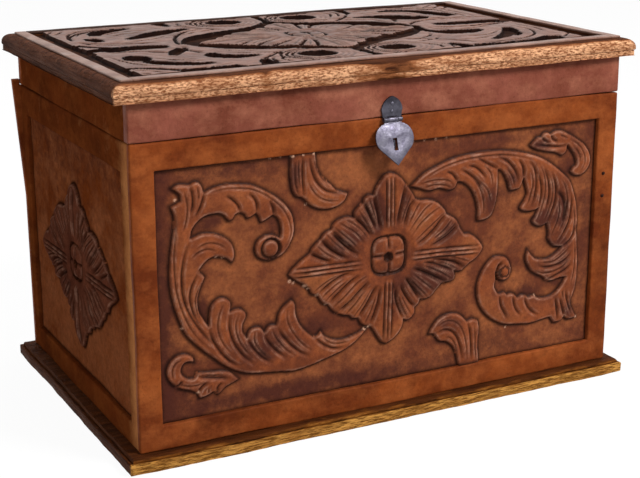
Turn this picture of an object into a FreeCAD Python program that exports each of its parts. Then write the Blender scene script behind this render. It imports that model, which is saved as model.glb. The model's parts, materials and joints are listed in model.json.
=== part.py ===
"""Storage trunk for papers and keepsakes: a box with a hinged lid, clad in tooled leather.

Units are millimetres. +Z is up, +X runs along the front from left to right, and the front
faces -Y. The origin is the centre of the underside of the base board.
"""
import math
import os

import FreeCAD, Part
from FreeCAD import Vector

# Box
body_width = 490.0             # outside, left to right, over the leather frames
body_depth = 312.0             # outside, front to back
body_height = 269.5            # from the base board to the seam
wall_thickness = 10.0          # boards of the carcass
floor_thickness = 8.0

# Leather frames and panels on the carcass
frame_thickness = 6.5          # how far the raised frames stand off the carcass
leather_thickness = 2.0        # tooled panels inside the frames
front_stile_width = 21.0
front_top_rail_height = 24.0
front_bottom_rail_height = 22.5
side_front_stile_width = 15.5  # on the side face, behind the front frame
side_back_stile_width = 12.5
side_top_rail_height = 27.0
side_bottom_rail_height = 22.0
back_panel_thickness = 5.0
back_splay = 7.5               # how far the back panel's upper corners spring out sideways
back_splay_rise = 6.0          # how far those corners stand above the seam
back_splay_height = 112.0      # height over which the corners spring out
splay_clearance = 0.5          # between a sprung corner and the lid's rim
tooled_relief = 3.0            # height of the tooled ornament above its ground
seam_round = 1.6               # rounded edges of the leather at the seam and corners

# Base board
base_thickness = 12.5
base_overhang_side = 13.5
base_overhang_end = 11.0       # front and back
base_band_height = 9.3         # lower, square part of the moulded edge
base_step = 3.0                # set-back of the upper part of the moulded edge
base_round = 2.0

# Lid
seam_gap = 0.6                 # between the rim of the lid and the box
rim_height = 33.9
rim_thickness = 10.0
lid_thickness = 16.0
lid_overhang_side = 13.0
lid_overhang_front = 7.0
lid_overhang_back = 6.0
lid_band_height = 5.0          # lower, square part of the moulded edge
lid_band_setback = 1.0
lid_edge_round = 8.5
border_width = 11.0            # leather strips round the lid's panel
border_thickness = 2.0
border_inset_side = 10.0       # from the edge of the lid board
border_inset_front = 11.5
lid_ground_thickness = 0.8     # leather ground between the ornaments of the lid
lid_relief = 1.6               # height of the lid's ornament above that ground

# Ornament on the tooled panels
front_rosette_x = 92.0
front_rosette_y = 80.0
side_rosette_x = 78.0
side_rosette_y = 98.0
scroll_radius = 62.0
scroll_width = 32.0
ornament_margin = 12.0         # between a scroll and the end of the front panel
scroll_gap_angle = 75.0        # half the opening of a scroll
lid_scroll_radius = 34.0
lid_scroll_width = 15.0
lid_scroll_pitch_x = 128.0
lid_scroll_pitch_y = 66.0
lid_rosette_reach = 62.0
ornament_sink = 0.4            # ornaments start this far inside their ground
petal_bulge = 0.24             # half width of a long leaf of a rosette, as a share of its length
short_petal_reach = 0.45       # reach of the short leaves, as a share of the long ones'
short_petal_bulge = 0.3
button_share = 0.16            # radius of a rosette's button, as a share of its height
button_rise = 1.3              # height of the button over that of the leaves
curl_share = 0.7               # radius of a scroll's round end, as a share of its width

# Butt hinges at the back
hinge_end_inset = 95.0         # from the side of the box to the middle of a hinge
hinge_length = 46.0
hinge_leaf_height = 24.0
hinge_leaf_thickness = 1.6
hinge_knuckle_radius = 3.0
hinge_pin_radius = 1.5
hinge_middle_share = 0.36      # share of the hinge's length that the lid's knuckle takes
hinge_screw_pitch = 16.0
hinge_screw_share = 0.62       # height of the screws as a share of the leaf's height
hinge_wood_gap = 0.3           # between the knuckles and the wood
bore_clearance = 0.05
knuckle_gap = 0.3
hinge_head_height = 1.2
hinge_head_extra = 0.8         # a pin head is this much wider than the pin

# Screws and nails
screw_radius = 1.4
screw_head_radius = 2.8
screw_head_height = 1.2
screw_length = 8.0
nail_radius = 0.7
nail_head_radius = 1.7
nail_head_height = 0.9
frame_nail_length = 12.0
frame_nail_heights = (204.0, 182.0)
frame_nail_inset = 12.5        # from the right edge of the front

# Hasp
hasp_x = -2.8                  # the hasp hangs a little left of the middle
hasp_drop = 1.8                # height of the seam above the hasp's pin
hasp_leaf_thickness = 1.6
hasp_leaf_half_width = 9.2
hasp_leaf_shoulder = 9.0       # height of the widest place above the pin
hasp_leaf_bulge = 1.3
hasp_leaf_height = 20.5
hasp_knuckle_radius = 2.2
hasp_pin_radius = 0.9
hasp_middle_half_width = 4.4
hasp_rest_angle = 16.4         # how far the flap stands out from the front at rest
flap_neck_half_width = 8.8
flap_neck_length = 1.0         # below the knuckle's gap
flap_half_width = 18.8
flap_widest_drop = 16.0
flap_shoulder_half_width = 15.8
flap_shoulder_drop = 25.0
flap_length = 40.4
flap_web = 0.5                 # overlap of the flap's plate and the web to its knuckle
slot_width = 4.0
slot_height = 10.8
slot_drop = 21.7               # from the pin to the middle of the slot
hasp_nail_length = 7.0
hasp_nail_shares = (0.34, 0.68)  # heights of the nails as shares of the leaf's height
hasp_rim_gap = 0.2             # between the lower edge of the lid's rim and the hasp's plate

# Staple that the flap's slot closes over
staple_wire_radius = 0.9
staple_reach = 6.7             # from the front of the rail to the outside of the crown
staple_span = 6.6              # between the centres of the legs
staple_tail = 2.0              # the legs' length past the wall, inside the box

# Places that follow from the sizes above
front_y = -body_depth / 2.0
back_y = body_depth / 2.0
left_x = -body_width / 2.0
right_x = body_width / 2.0
foot_z = base_thickness
seam_z = foot_z + body_height
core_front_y = front_y + frame_thickness
core_back_y = back_y - back_panel_thickness
core_right_x = right_x - frame_thickness
inner_front_y = core_front_y + wall_thickness
inner_back_y = core_back_y - wall_thickness
inner_right_x = core_right_x - wall_thickness
rim_z = seam_z + seam_gap
lid_z = rim_z + rim_height
lid_top_z = lid_z + lid_thickness
hinge_y = back_y + hinge_wood_gap + hinge_knuckle_radius
hinge_z = seam_z + seam_gap / 2.0
hasp_y = front_y - hinge_wood_gap - hasp_knuckle_radius
hasp_z = seam_z - hasp_drop
staple_z = hasp_z - slot_drop

os.makedirs("parts", exist_ok=True)


def save(name, shape):
    """Write one node, and stop if it isn't made of valid solids."""
    if not shape.isValid() or not shape.Solids:
        raise ValueError(name + " is not a valid solid")
    shape.exportStep("parts/" + name + ".step")
    print(name, len(shape.Solids), round(shape.Volume, 1))


def block(x0, x1, y0, y1, z0, z1):
    """A box between two corners."""
    return Part.makeBox(x1 - x0, y1 - y0, z1 - z0, Vector(x0, y0, z0))


def rod(radius, start, direction, length):
    """A round bar."""
    return Part.makeCylinder(radius, length, start, direction)


def edges_where(shape, test):
    """The edges whose two ends both pass a test."""
    return [e for e in shape.Edges if all(test(v.Point) for v in e.Vertexes)]


def rounded(shape, edges, radius):
    """The shape with some of its edges rounded."""
    return shape.makeFillet(radius, edges)


def near(a, b):
    return abs(a - b) < 1e-6


def prism(points, direction):
    """A closed outline of straight lines, pushed along a direction."""
    face = Part.Face(Part.makePolygon(points + points[:1]))
    return face.extrude(direction)


def outline_face(curves):
    """A face inside a closed chain of lines and arcs."""
    return Part.Face(Part.Wire([c.toShape() for c in curves]))


# Base board

def base_board():
    """One board with a moulded edge: a square band, and a rounded step above it."""
    half_x = body_width / 2.0 + base_overhang_side
    half_y = body_depth / 2.0 + base_overhang_end
    band = block(-half_x, half_x, -half_y, half_y, 0, base_band_height)
    uprights = edges_where(band, lambda p: near(abs(p.x), half_x) and near(abs(p.y), half_y))
    uprights = [e for e in uprights if not near(e.Vertexes[0].Z, e.Vertexes[1].Z)]
    band = rounded(band, uprights, base_round)
    step_x = half_x - base_step
    step_y = half_y - base_step
    step = block(-step_x, step_x, -step_y, step_y, base_band_height, base_thickness)
    step_round = min(base_round, 0.6 * (base_thickness - base_band_height))
    step = rounded(step, edges_where(step, lambda p: near(p.z, base_thickness)), step_round)
    return band.fuse(step).removeSplitter()


# Carcass

def pilot_holes():
    """Every hole that a fastener needs in the wood and leather of the box."""
    return Part.makeCompound(box_screw_shanks() + frame_nail_shanks() + [staple_wire()])


def side_wall():
    """The right wall of the carcass. It runs the full depth."""
    return block(inner_right_x, core_right_x, core_front_y, core_back_y, foot_z, seam_z)


def front_wall():
    return block(-inner_right_x, inner_right_x, core_front_y, inner_front_y, foot_z, seam_z)


def back_wall():
    return block(-inner_right_x, inner_right_x, inner_back_y, core_back_y, foot_z, seam_z)


def floor_board():
    return block(-inner_right_x, inner_right_x, inner_front_y, inner_back_y, foot_z,
                 foot_z + floor_thickness)


# Leather frames

def front_stile():
    """The right upright of the front frame, rounded where the leather turns the corner."""
    stile = block(right_x - front_stile_width, right_x, front_y, core_front_y, foot_z, seam_z)
    corner = edges_where(stile, lambda p: near(p.x, right_x) and near(p.y, front_y))
    return rounded(stile, corner, seam_round)


def front_rail(z0, z1):
    half = body_width / 2.0 - front_stile_width
    return block(-half, half, front_y, core_front_y, z0, z1)


def side_stile(y0, y1):
    """One upright of the right-hand frame."""
    return block(core_right_x, right_x, y0, y1, foot_z, seam_z)


def side_rail(z0, z1):
    """One rail of the right-hand frame, between its uprights."""
    y0 = core_front_y + side_front_stile_width
    y1 = core_back_y - side_back_stile_width
    return block(core_right_x, right_x, y0, y1, z0, z1)


def back_panel():
    """The leather-covered back, whose upper corners have sprung out past the sides."""
    splay_z = seam_z - back_splay_height
    inner_x = right_x + splay_clearance
    tip_x = right_x + back_splay
    tip_z = seam_z + back_splay_rise
    half = [(0, foot_z), (right_x, foot_z), (right_x, splay_z), (tip_x, tip_z),
            (inner_x, tip_z), (inner_x, seam_z), (0, seam_z)]
    points = [Vector(x, core_back_y, z) for x, z in half]
    right = prism(points, Vector(0, back_panel_thickness, 0))
    left = right.mirror(Vector(0, 0, 0), Vector(1, 0, 0))
    return right.fuse(left).removeSplitter()


# Tooled leather

def leaf_face(tip_a, tip_b, bulge):
    """A pointed leaf in the XY plane between two tips, each edge an arc."""
    middle = (tip_a + tip_b) * 0.5
    along = tip_b - tip_a
    across = Vector(-along.y, along.x, 0).normalize() * bulge
    return outline_face([Part.Arc(tip_a, middle + across, tip_b),
                         Part.Arc(tip_b, middle - across, tip_a)])


def rosette(reach_x, reach_y, height):
    """A flower of four long leaves and four short ones round a button, standing on Z = 0."""
    centre = Vector(0, 0, 0)
    long_tips = [Vector(reach_x, 0, 0), Vector(-reach_x, 0, 0), Vector(0, reach_y, 0),
                 Vector(0, -reach_y, 0)]
    short_tips = [Vector(sx * short_petal_reach * reach_x, sy * short_petal_reach * reach_y, 0)
                  for sx in (1, -1) for sy in (1, -1)]
    petals = [leaf_face(centre, tip, petal_bulge * tip.Length) for tip in long_tips]
    petals += [leaf_face(centre, tip, short_petal_bulge * tip.Length) for tip in short_tips]
    flower = petals[0].extrude(Vector(0, 0, height))
    for petal in petals[1:]:
        flower = flower.fuse(petal.extrude(Vector(0, 0, height)))
    button = Part.makeCylinder(button_share * reach_y, button_rise * height)
    return flower.fuse(button).removeSplitter()


def scroll(radius, width, height, start, turn):
    """A C-shaped scroll with a round end, standing on Z = 0 and open towards +X."""
    def spoke(r, degrees):
        a = math.radians(degrees)
        return Vector(r * math.cos(a), r * math.sin(a), 0)
    outer = radius + width / 2.0
    inner = radius - width / 2.0
    middle = start + turn / 2.0
    end = start + turn
    band = outline_face([Part.Arc(spoke(outer, start), spoke(outer, middle), spoke(outer, end)),
                         Part.LineSegment(spoke(outer, end), spoke(inner, end)),
                         Part.Arc(spoke(inner, end), spoke(inner, middle), spoke(inner, start)),
                         Part.LineSegment(spoke(inner, start), spoke(outer, start))])
    band = band.extrude(Vector(0, 0, height))
    curl = Part.makeCylinder(curl_share * width, height, spoke(radius, start))
    return band.fuse(curl).removeSplitter()


def placed(shape, x_axis, y_axis, at):
    """A shape drawn on the XY plane, moved onto the plane of two other axes."""
    z_axis = x_axis.cross(y_axis)
    turn = FreeCAD.Matrix(x_axis.x, y_axis.x, z_axis.x, at.x,
                          x_axis.y, y_axis.y, z_axis.y, at.y,
                          x_axis.z, y_axis.z, z_axis.z, at.z,
                          0, 0, 0, 1)
    moved = shape.copy()
    moved.transformShape(turn, True)
    return moved


def front_panel():
    """The tooled leather of the front: a rosette between two scrolls."""
    half = body_width / 2.0 - front_stile_width
    z0 = foot_z + front_bottom_rail_height
    z1 = seam_z - front_top_rail_height
    ground = block(-half, half, core_front_y - leather_thickness, core_front_y, z0, z1)
    height = tooled_relief + ornament_sink
    surface = core_front_y - leather_thickness + ornament_sink
    middle = Vector(0, surface, (z0 + z1) / 2.0)
    right = Vector(1, 0, 0)
    up = Vector(0, 0, 1)
    panel = ground.fuse(placed(rosette(front_rosette_x, front_rosette_y, height), right, up, middle))
    turn = 360.0 - 2.0 * scroll_gap_angle
    arm = scroll(scroll_radius, scroll_width, height, scroll_gap_angle, turn)
    step = Vector(half - ornament_margin - scroll_radius - scroll_width / 2.0, 0, 0)
    panel = panel.fuse(placed(arm, right, up, middle - step))
    arm.rotate(Vector(0, 0, 0), Vector(0, 0, 1), 180.0)
    panel = panel.fuse(placed(arm, right, up, middle + step))
    return panel.removeSplitter().cut(pilot_holes())


def side_panel():
    """The tooled leather of the right side: one rosette on a plain ground."""
    y0 = core_front_y + side_front_stile_width
    y1 = core_back_y - side_back_stile_width
    z0 = foot_z + side_bottom_rail_height
    z1 = seam_z - side_top_rail_height
    ground = block(core_right_x, core_right_x + leather_thickness, y0, y1, z0, z1)
    surface = core_right_x + leather_thickness - ornament_sink
    middle = Vector(surface, (y0 + y1) / 2.0, (z0 + z1) / 2.0)
    flower = rosette(side_rosette_y, side_rosette_x, tooled_relief + ornament_sink)
    flower = placed(flower, Vector(0, 1, 0), Vector(0, 0, 1), middle)
    return ground.fuse(flower).removeSplitter()


# Lid

def rim_front():
    """The front board of the lid's rim, with the leather rounded at its lower edge."""
    board = block(left_x, right_x, front_y, front_y + rim_thickness, rim_z, lid_z)
    low_edge = edges_where(board, lambda p: near(p.y, front_y) and near(p.z, rim_z))
    board = rounded(board, low_edge, seam_round)
    return board.cut(Part.makeCompound(hasp_nail_shanks()))


def rim_back():
    board = block(left_x, right_x, back_y - rim_thickness, back_y, rim_z, lid_z)
    return board.cut(Part.makeCompound(lid_screw_shanks()))


def rim_side():
    """The right-hand board of the lid's rim."""
    board = block(right_x - rim_thickness, right_x, front_y + rim_thickness,
                  back_y - rim_thickness, rim_z, lid_z)
    low_edge = edges_where(board, lambda p: near(p.x, right_x) and near(p.z, rim_z))
    return rounded(board, low_edge, seam_round)


def lid_board():
    """The top board, with a square lower band and a rounded upper edge."""
    x = body_width / 2.0 + lid_overhang_side
    y0 = front_y - lid_overhang_front
    y1 = back_y + lid_overhang_back
    s = lid_band_setback
    band = block(-x + s, x - s, y0 + s, y1 - s, lid_z, lid_z + lid_band_height)
    upper = block(-x, x, y0, y1, lid_z + lid_band_height, lid_top_z)
    radius = min(lid_edge_round, 0.85 * (lid_thickness - lid_band_height))
    upper = rounded(upper, edges_where(upper, lambda p: near(p.z, lid_top_z)), radius)
    return band.fuse(upper).removeSplitter()


def border_limits():
    """The outside of the leather border on the lid: half its width, its front and its back."""
    half = body_width / 2.0 + lid_overhang_side - border_inset_side
    y0 = front_y - lid_overhang_front + border_inset_front
    y1 = back_y + lid_overhang_back - border_inset_front
    return half, y0, y1


def border_side():
    """The right-hand strip of the lid's leather border."""
    half, y0, y1 = border_limits()
    return block(half - border_width, half, y0, y1, lid_top_z, lid_top_z + border_thickness)


def border_end(y0):
    """The front or back strip of the lid's leather border."""
    half = border_limits()[0] - border_width
    return block(-half, half, y0, y0 + border_width, lid_top_z, lid_top_z + border_thickness)


def lid_panel():
    """The tooled leather of the lid: a rosette in the middle of rows of scrolls."""
    half, y0, y1 = border_limits()
    half = half - border_width
    y0 = y0 + border_width
    y1 = y1 - border_width
    panel = block(-half, half, y0, y1, lid_top_z, lid_top_z + lid_ground_thickness)
    surface = lid_top_z + lid_ground_thickness - ornament_sink
    height = lid_relief + ornament_sink
    middle = Vector(0, (y0 + y1) / 2.0, surface)
    flower = rosette(lid_rosette_reach * 1.3, lid_rosette_reach, height)
    right = Vector(1, 0, 0)
    up = Vector(0, 1, 0)
    panel = panel.fuse(placed(flower, right, up, middle))
    turn = 360.0 - 2.0 * scroll_gap_angle
    for side in (-1, 1):
        arm = scroll(lid_scroll_radius, lid_scroll_width, height, scroll_gap_angle, turn)
        if side > 0:
            arm.rotate(Vector(0, 0, 0), Vector(0, 0, 1), 180.0)
        for row in (-1, 1):
            place = Vector(side * lid_scroll_pitch_x, row * lid_scroll_pitch_y, 0)
            panel = panel.fuse(placed(arm, right, up, middle + place))
    return panel.removeSplitter()


# Hinges at the back

def hinge_centres():
    x = right_x - hinge_end_inset
    return (-x, x)


def knuckle(x0, x1, bore):
    barrel = rod(hinge_knuckle_radius, Vector(x0, hinge_y, hinge_z), Vector(1, 0, 0), x1 - x0)
    return barrel.cut(rod(bore, Vector(x0, hinge_y, hinge_z), Vector(1, 0, 0), x1 - x0))


def knuckle_limits(x):
    """Where the lid's knuckle and the box's two knuckles lie along one hinge."""
    half = hinge_length / 2.0
    middle = half * hinge_middle_share
    inner = middle + knuckle_gap
    return [(x - middle, x + middle)], [(x - half, x - inner), (x + inner, x + half)]


def hinge_leaf(x, own, others, side):
    """One leaf: a plate on the wood and its knuckles. Side is 1 for the lid, -1 for the box."""
    half = hinge_length / 2.0
    y1 = back_y + hinge_leaf_thickness
    far_z = hinge_z + side * hinge_leaf_height
    plate = block(x - half, x + half, back_y, y1, min(hinge_z, far_z), max(hinge_z, far_z))
    reach = hinge_knuckle_radius + knuckle_gap
    for x0, x1 in others:
        start = Vector(x0 - knuckle_gap, hinge_y, hinge_z)
        plate = plate.cut(rod(reach, start, Vector(1, 0, 0), x1 - x0 + 2.0 * knuckle_gap))
        low = min(hinge_z, hinge_z + side * reach)
        plate = plate.cut(block(x0 - knuckle_gap, x1 + knuckle_gap, back_y, y1, low, low + reach))
    leaf = plate
    for x0, x1 in own:
        leaf = leaf.fuse(knuckle(x0, x1, hinge_pin_radius + bore_clearance))
        leaf = leaf.cut(rod(hinge_pin_radius + bore_clearance, Vector(x0, hinge_y, hinge_z),
                            Vector(1, 0, 0), x1 - x0))
    seats = [screw_solid(place) for place in leaf_screw_places(x, side)]
    return leaf.cut(Part.makeCompound(seats)).removeSplitter()


def box_leaf(x):
    lid_part, box_part = knuckle_limits(x)
    return hinge_leaf(x, box_part, lid_part, -1)


def lid_leaf(x):
    lid_part, box_part = knuckle_limits(x)
    return hinge_leaf(x, lid_part, box_part, 1)


def hinge_pin(x):
    """A headed pin through all the knuckles of one hinge."""
    half = hinge_length / 2.0
    right = Vector(1, 0, 0)
    pin = rod(hinge_pin_radius, Vector(x - half, hinge_y, hinge_z), right, hinge_length)
    head_radius = hinge_pin_radius + hinge_head_extra
    head = rod(head_radius, Vector(x + half, hinge_y, hinge_z), right, hinge_head_height)
    foot = rod(head_radius, Vector(x - half - hinge_head_height, hinge_y, hinge_z), right,
               hinge_head_height)
    return pin.fuse(head).fuse(foot).removeSplitter()


# Screws and nails

def leaf_screw_places(x, side):
    """The three screws of a leaf, in a row along its far half."""
    z = hinge_z + side * hinge_screw_share * hinge_leaf_height
    y = back_y + hinge_leaf_thickness
    return [Vector(x + k * hinge_screw_pitch, y, z) for k in (-1, 0, 1)]


def screw_solid(place):
    """A countersunk screw whose flat head lies flush with the leaf."""
    head = Part.makeCone(screw_head_radius, screw_radius, screw_head_height, place,
                         Vector(0, -1, 0))
    shank = rod(screw_radius, place, Vector(0, -1, 0), hinge_leaf_thickness + screw_length)
    return head.fuse(shank).removeSplitter()


def box_screw_shanks():
    return [screw_solid(p) for x in hinge_centres() for p in leaf_screw_places(x, -1)]


def lid_screw_shanks():
    return [screw_solid(p) for x in hinge_centres() for p in leaf_screw_places(x, 1)]


def nail(place, length):
    """A round nail driven along +Y, with a low domed head."""
    shank = rod(nail_radius, place, Vector(0, 1, 0), length)
    head = Part.makeCone(nail_head_radius, 0.5 * nail_head_radius, nail_head_height, place,
                         Vector(0, -1, 0))
    return shank.fuse(head).removeSplitter()


def frame_nail_places():
    x = right_x - frame_nail_inset
    return [Vector(x, front_y, z) for z in frame_nail_heights]


def frame_nail_shanks():
    return [rod(nail_radius, p, Vector(0, 1, 0), frame_nail_length) for p in frame_nail_places()]


def hasp_nail_places():
    """Two nails in the upper leaf of the hasp, one above the other."""
    y = front_y - hasp_leaf_thickness
    return [Vector(hasp_x, y, hasp_z + share * hasp_leaf_height) for share in hasp_nail_shares]


def hasp_nail_shanks():
    return [rod(nail_radius, p, Vector(0, 1, 0), hasp_nail_length) for p in hasp_nail_places()]


# Staple

def staple_wire():
    """A bent wire: two legs through the front, joined by a crown that stands off it."""
    y0 = front_y - staple_reach + staple_wire_radius
    length = inner_front_y + staple_tail - y0
    half = staple_span / 2.0
    along = Vector(0, 1, 0)
    legs = [rod(staple_wire_radius, Vector(hasp_x, y0, staple_z + s * half), along, length)
            for s in (-1, 1)]
    crown = rod(staple_wire_radius, Vector(hasp_x, y0, staple_z - half), Vector(0, 0, 1), staple_span)
    knees = [Part.makeSphere(staple_wire_radius, Vector(hasp_x, y0, staple_z + s * half))
             for s in (-1, 1)]
    wire = crown
    for piece in legs + knees:
        wire = wire.fuse(piece)
    return wire.removeSplitter()


# Hasp

def hasp_barrel(x0, x1, radius):
    return rod(radius, Vector(x0, hasp_y, hasp_z), Vector(1, 0, 0), x1 - x0)


def hasp_leaf():
    """The upper leaf on the lid: an ogee plate and its two outer knuckles."""
    w = hasp_leaf_half_width
    y = front_y - hasp_leaf_thickness
    low = rim_z + hasp_rim_gap
    def at(x, z):
        return Vector(hasp_x + x, y, z)
    shoulder = hasp_z + hasp_leaf_shoulder
    tip = hasp_z + hasp_leaf_height
    wide = w + hasp_leaf_bulge
    right = [Part.LineSegment(at(w, low), at(wide, shoulder)),
             Part.Arc(at(wide, shoulder), at(0.72 * wide, shoulder + 0.58 * (tip - shoulder)), at(0, tip))]
    left = [Part.Arc(at(0, tip), at(-0.72 * wide, shoulder + 0.58 * (tip - shoulder)), at(-wide, shoulder)),
            Part.LineSegment(at(-wide, shoulder), at(-w, low))]
    face = outline_face(right + left + [Part.LineSegment(at(-w, low), at(w, low))])
    plate = face.extrude(Vector(0, hasp_leaf_thickness, 0))
    inner = hasp_middle_half_width + knuckle_gap
    for x0, x1 in ((hasp_x - w, hasp_x - inner), (hasp_x + inner, hasp_x + w)):
        plate = plate.fuse(hasp_barrel(x0, x1, hasp_knuckle_radius))
        plate = plate.fuse(block(x0, x1, y, front_y - hinge_wood_gap, hasp_z, low))
    plate = plate.cut(hasp_barrel(hasp_x - w, hasp_x + w, hasp_pin_radius))
    middle = hasp_barrel(hasp_x - inner, hasp_x + inner, hasp_knuckle_radius + knuckle_gap)
    plate = plate.cut(middle)
    return plate.cut(Part.makeCompound(hasp_nail_shanks())).removeSplitter()


def hasp_pin():
    w = hasp_leaf_half_width
    return hasp_barrel(hasp_x - w, hasp_x + w, hasp_pin_radius)


def flap_outline():
    """The spade shape of the flap, hanging straight down from the pin."""
    def at(x, drop):
        return Vector(hasp_x + x, hasp_y, hasp_z - drop)
    neck = flap_neck_half_width
    wide = flap_half_width
    low = flap_shoulder_half_width
    top = hasp_knuckle_radius + knuckle_gap
    curves = []
    for s in (1, -1):
        neck_end = at(s * neck, top + flap_neck_length)
        upper = at(s * 0.85 * wide, 0.5 * flap_widest_drop)
        widest = at(s * wide, flap_widest_drop)
        lower = at(s * 0.97 * wide, 0.5 * (flap_widest_drop + flap_shoulder_drop))
        shoulder = at(s * low, flap_shoulder_drop)
        curves += [Part.LineSegment(at(s * neck, top), neck_end),
                   Part.Arc(neck_end, upper, widest),
                   Part.Arc(widest, lower, shoulder),
                   Part.LineSegment(shoulder, at(0, flap_length))]
    curves.append(Part.LineSegment(at(neck, top), at(-neck, top)))
    return Part.Face(Part.Wire(Part.sortEdges([c.toShape() for c in curves])[0]))


def hasp_flap():
    """The flap with its slot and middle knuckle, turned out to where it rests."""
    thickness = hasp_leaf_thickness
    plate = flap_outline().extrude(Vector(0, thickness, 0))
    slot = block(hasp_x - slot_width / 2.0, hasp_x + slot_width / 2.0, hasp_y - 1.0,
                 hasp_y + thickness + 1.0, staple_z - slot_height / 2.0,
                 staple_z + slot_height / 2.0)
    plate = plate.cut(slot)
    m = hasp_middle_half_width
    web = block(hasp_x - m, hasp_x + m, hasp_y, hasp_y + thickness,
                hasp_z - hasp_knuckle_radius - knuckle_gap - flap_web, hasp_z)
    flap = plate.fuse(web).fuse(hasp_barrel(hasp_x - m, hasp_x + m, hasp_knuckle_radius))
    bore = hasp_barrel(hasp_x - m, hasp_x + m, hasp_pin_radius + bore_clearance)
    flap = flap.cut(bore).removeSplitter()
    flap.rotate(Vector(hasp_x, hasp_y, hasp_z), Vector(-1, 0, 0), hasp_rest_angle)
    return flap


def mirrored(shape):
    return shape.mirror(Vector(0, 0, 0), Vector(1, 0, 0))


def save_pair(name, shape):
    """Write a right-hand piece, and its mirror image as the left-hand one."""
    save("right_" + name, shape)
    save("left_" + name, mirrored(shape))


# Write every node

save("base_board", base_board())
save("floor_board", floor_board())

holes = pilot_holes()
save("front_wall", front_wall().cut(holes))
save("back_wall", back_wall().cut(holes))
save("right_wall", side_wall().cut(holes))
save("left_wall", mirrored(side_wall()))

save("front_right_stile", front_stile().cut(holes))
save("front_left_stile", mirrored(front_stile()))
save("front_top_rail", front_rail(seam_z - front_top_rail_height, seam_z).cut(holes))
save("front_bottom_rail", front_rail(foot_z, foot_z + front_bottom_rail_height))
save_pair("front_side_stile", side_stile(core_front_y, core_front_y + side_front_stile_width))
save_pair("back_side_stile", side_stile(core_back_y - side_back_stile_width, core_back_y))
save_pair("top_side_rail", side_rail(seam_z - side_top_rail_height, seam_z))
save_pair("bottom_side_rail", side_rail(foot_z, foot_z + side_bottom_rail_height))
save("back_panel", back_panel().cut(holes))

save("front_tooled_panel", front_panel())
save_pair("tooled_panel", side_panel())

save("lid_front_rim", rim_front())
save("lid_back_rim", rim_back())
save("lid_right_rim", rim_side())
save("lid_left_rim", mirrored(rim_side()))
save("lid_board", lid_board())
save("lid_right_border", border_side())
save("lid_left_border", mirrored(border_side()))
save("lid_front_border", border_end(border_limits()[1]))
save("lid_back_border", border_end(border_limits()[2] - border_width))
save("lid_tooled_panel", lid_panel())

for side_name, hinge_x in zip(("left", "right"), hinge_centres()):
    save(side_name + "_hinge_box_leaf", box_leaf(hinge_x))
    save(side_name + "_hinge_lid_leaf", lid_leaf(hinge_x))
    save(side_name + "_hinge_pin", hinge_pin(hinge_x))
save("box_hinge_screws", Part.makeCompound(box_screw_shanks()))
save("lid_hinge_screws", Part.makeCompound(lid_screw_shanks()))

save("frame_nails", Part.makeCompound([nail(p, frame_nail_length) for p in frame_nail_places()]))
save("hasp_staple", staple_wire())
save("hasp_leaf", hasp_leaf())
save("hasp_nails", Part.makeCompound([nail(p, hasp_nail_length) for p in hasp_nail_places()]))
save("hasp_pin", hasp_pin())
save("hasp_flap", hasp_flap())
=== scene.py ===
"""Looks of the storage trunk: tooled leather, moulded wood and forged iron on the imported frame.

Blender's own unit is the metre. Drawn ornament is in millimetres, as it would be measured on the trunk.
"""
import json
import math

import bpy
import numpy as np
from mathutils import Matrix, Vector


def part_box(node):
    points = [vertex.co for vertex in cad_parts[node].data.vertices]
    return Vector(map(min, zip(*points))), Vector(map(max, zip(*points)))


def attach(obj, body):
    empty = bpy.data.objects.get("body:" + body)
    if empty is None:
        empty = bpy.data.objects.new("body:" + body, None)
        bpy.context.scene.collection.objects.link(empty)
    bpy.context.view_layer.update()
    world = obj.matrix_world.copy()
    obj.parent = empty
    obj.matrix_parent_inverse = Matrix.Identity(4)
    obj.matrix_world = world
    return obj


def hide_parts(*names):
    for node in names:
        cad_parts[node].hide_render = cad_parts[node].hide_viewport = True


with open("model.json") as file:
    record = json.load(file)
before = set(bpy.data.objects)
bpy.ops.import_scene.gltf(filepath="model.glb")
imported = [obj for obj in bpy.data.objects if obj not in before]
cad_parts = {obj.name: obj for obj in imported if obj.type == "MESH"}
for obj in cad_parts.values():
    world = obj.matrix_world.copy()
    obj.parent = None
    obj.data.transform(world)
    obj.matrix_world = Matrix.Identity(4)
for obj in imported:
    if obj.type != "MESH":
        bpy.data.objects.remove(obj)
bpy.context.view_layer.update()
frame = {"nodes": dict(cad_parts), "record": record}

MM = 0.001
nodes = frame["nodes"]


def low_high(*names):
    """Lowest and highest corner round some CAD nodes, in millimetres."""
    boxes = [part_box(name) for name in names]
    low = np.min([np.array(b[0]) for b in boxes], axis=0) / MM
    high = np.max([np.array(b[1]) for b in boxes], axis=0) / MM
    return low, high


# Node materials

def linear(code):
    """An sRGB hex colour as the linear colour that the shaders use."""
    parts = [int(code[i:i + 2], 16) / 255 for i in (1, 3, 5)]
    return [c / 12.92 if c <= 0.04045 else ((c + 0.055) / 1.055) ** 2.4 for c in parts] + [1]


def add(tree, kind, inputs, output=0, **settings):
    """Add one node with its settings and links. Its inputs are values or other nodes' outputs."""
    made = tree.nodes.new("ShaderNode" + kind)
    for key, value in settings.items():
        setattr(made, key, value)
    for key, value in inputs.items():
        if isinstance(value, bpy.types.NodeSocket):
            tree.links.new(value, made.inputs[key])
        else:
            made.inputs[key].default_value = value
    return made.outputs[output] if len(made.outputs) else None


def new_tree(name):
    """An empty material's node tree, and the place on the object that its patterns read."""
    made = bpy.data.materials.new(name)
    made.use_nodes = True
    tree = made.node_tree
    tree.nodes.clear()
    return made, tree, add(tree, "TexCoord", {}, "Object")


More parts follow.
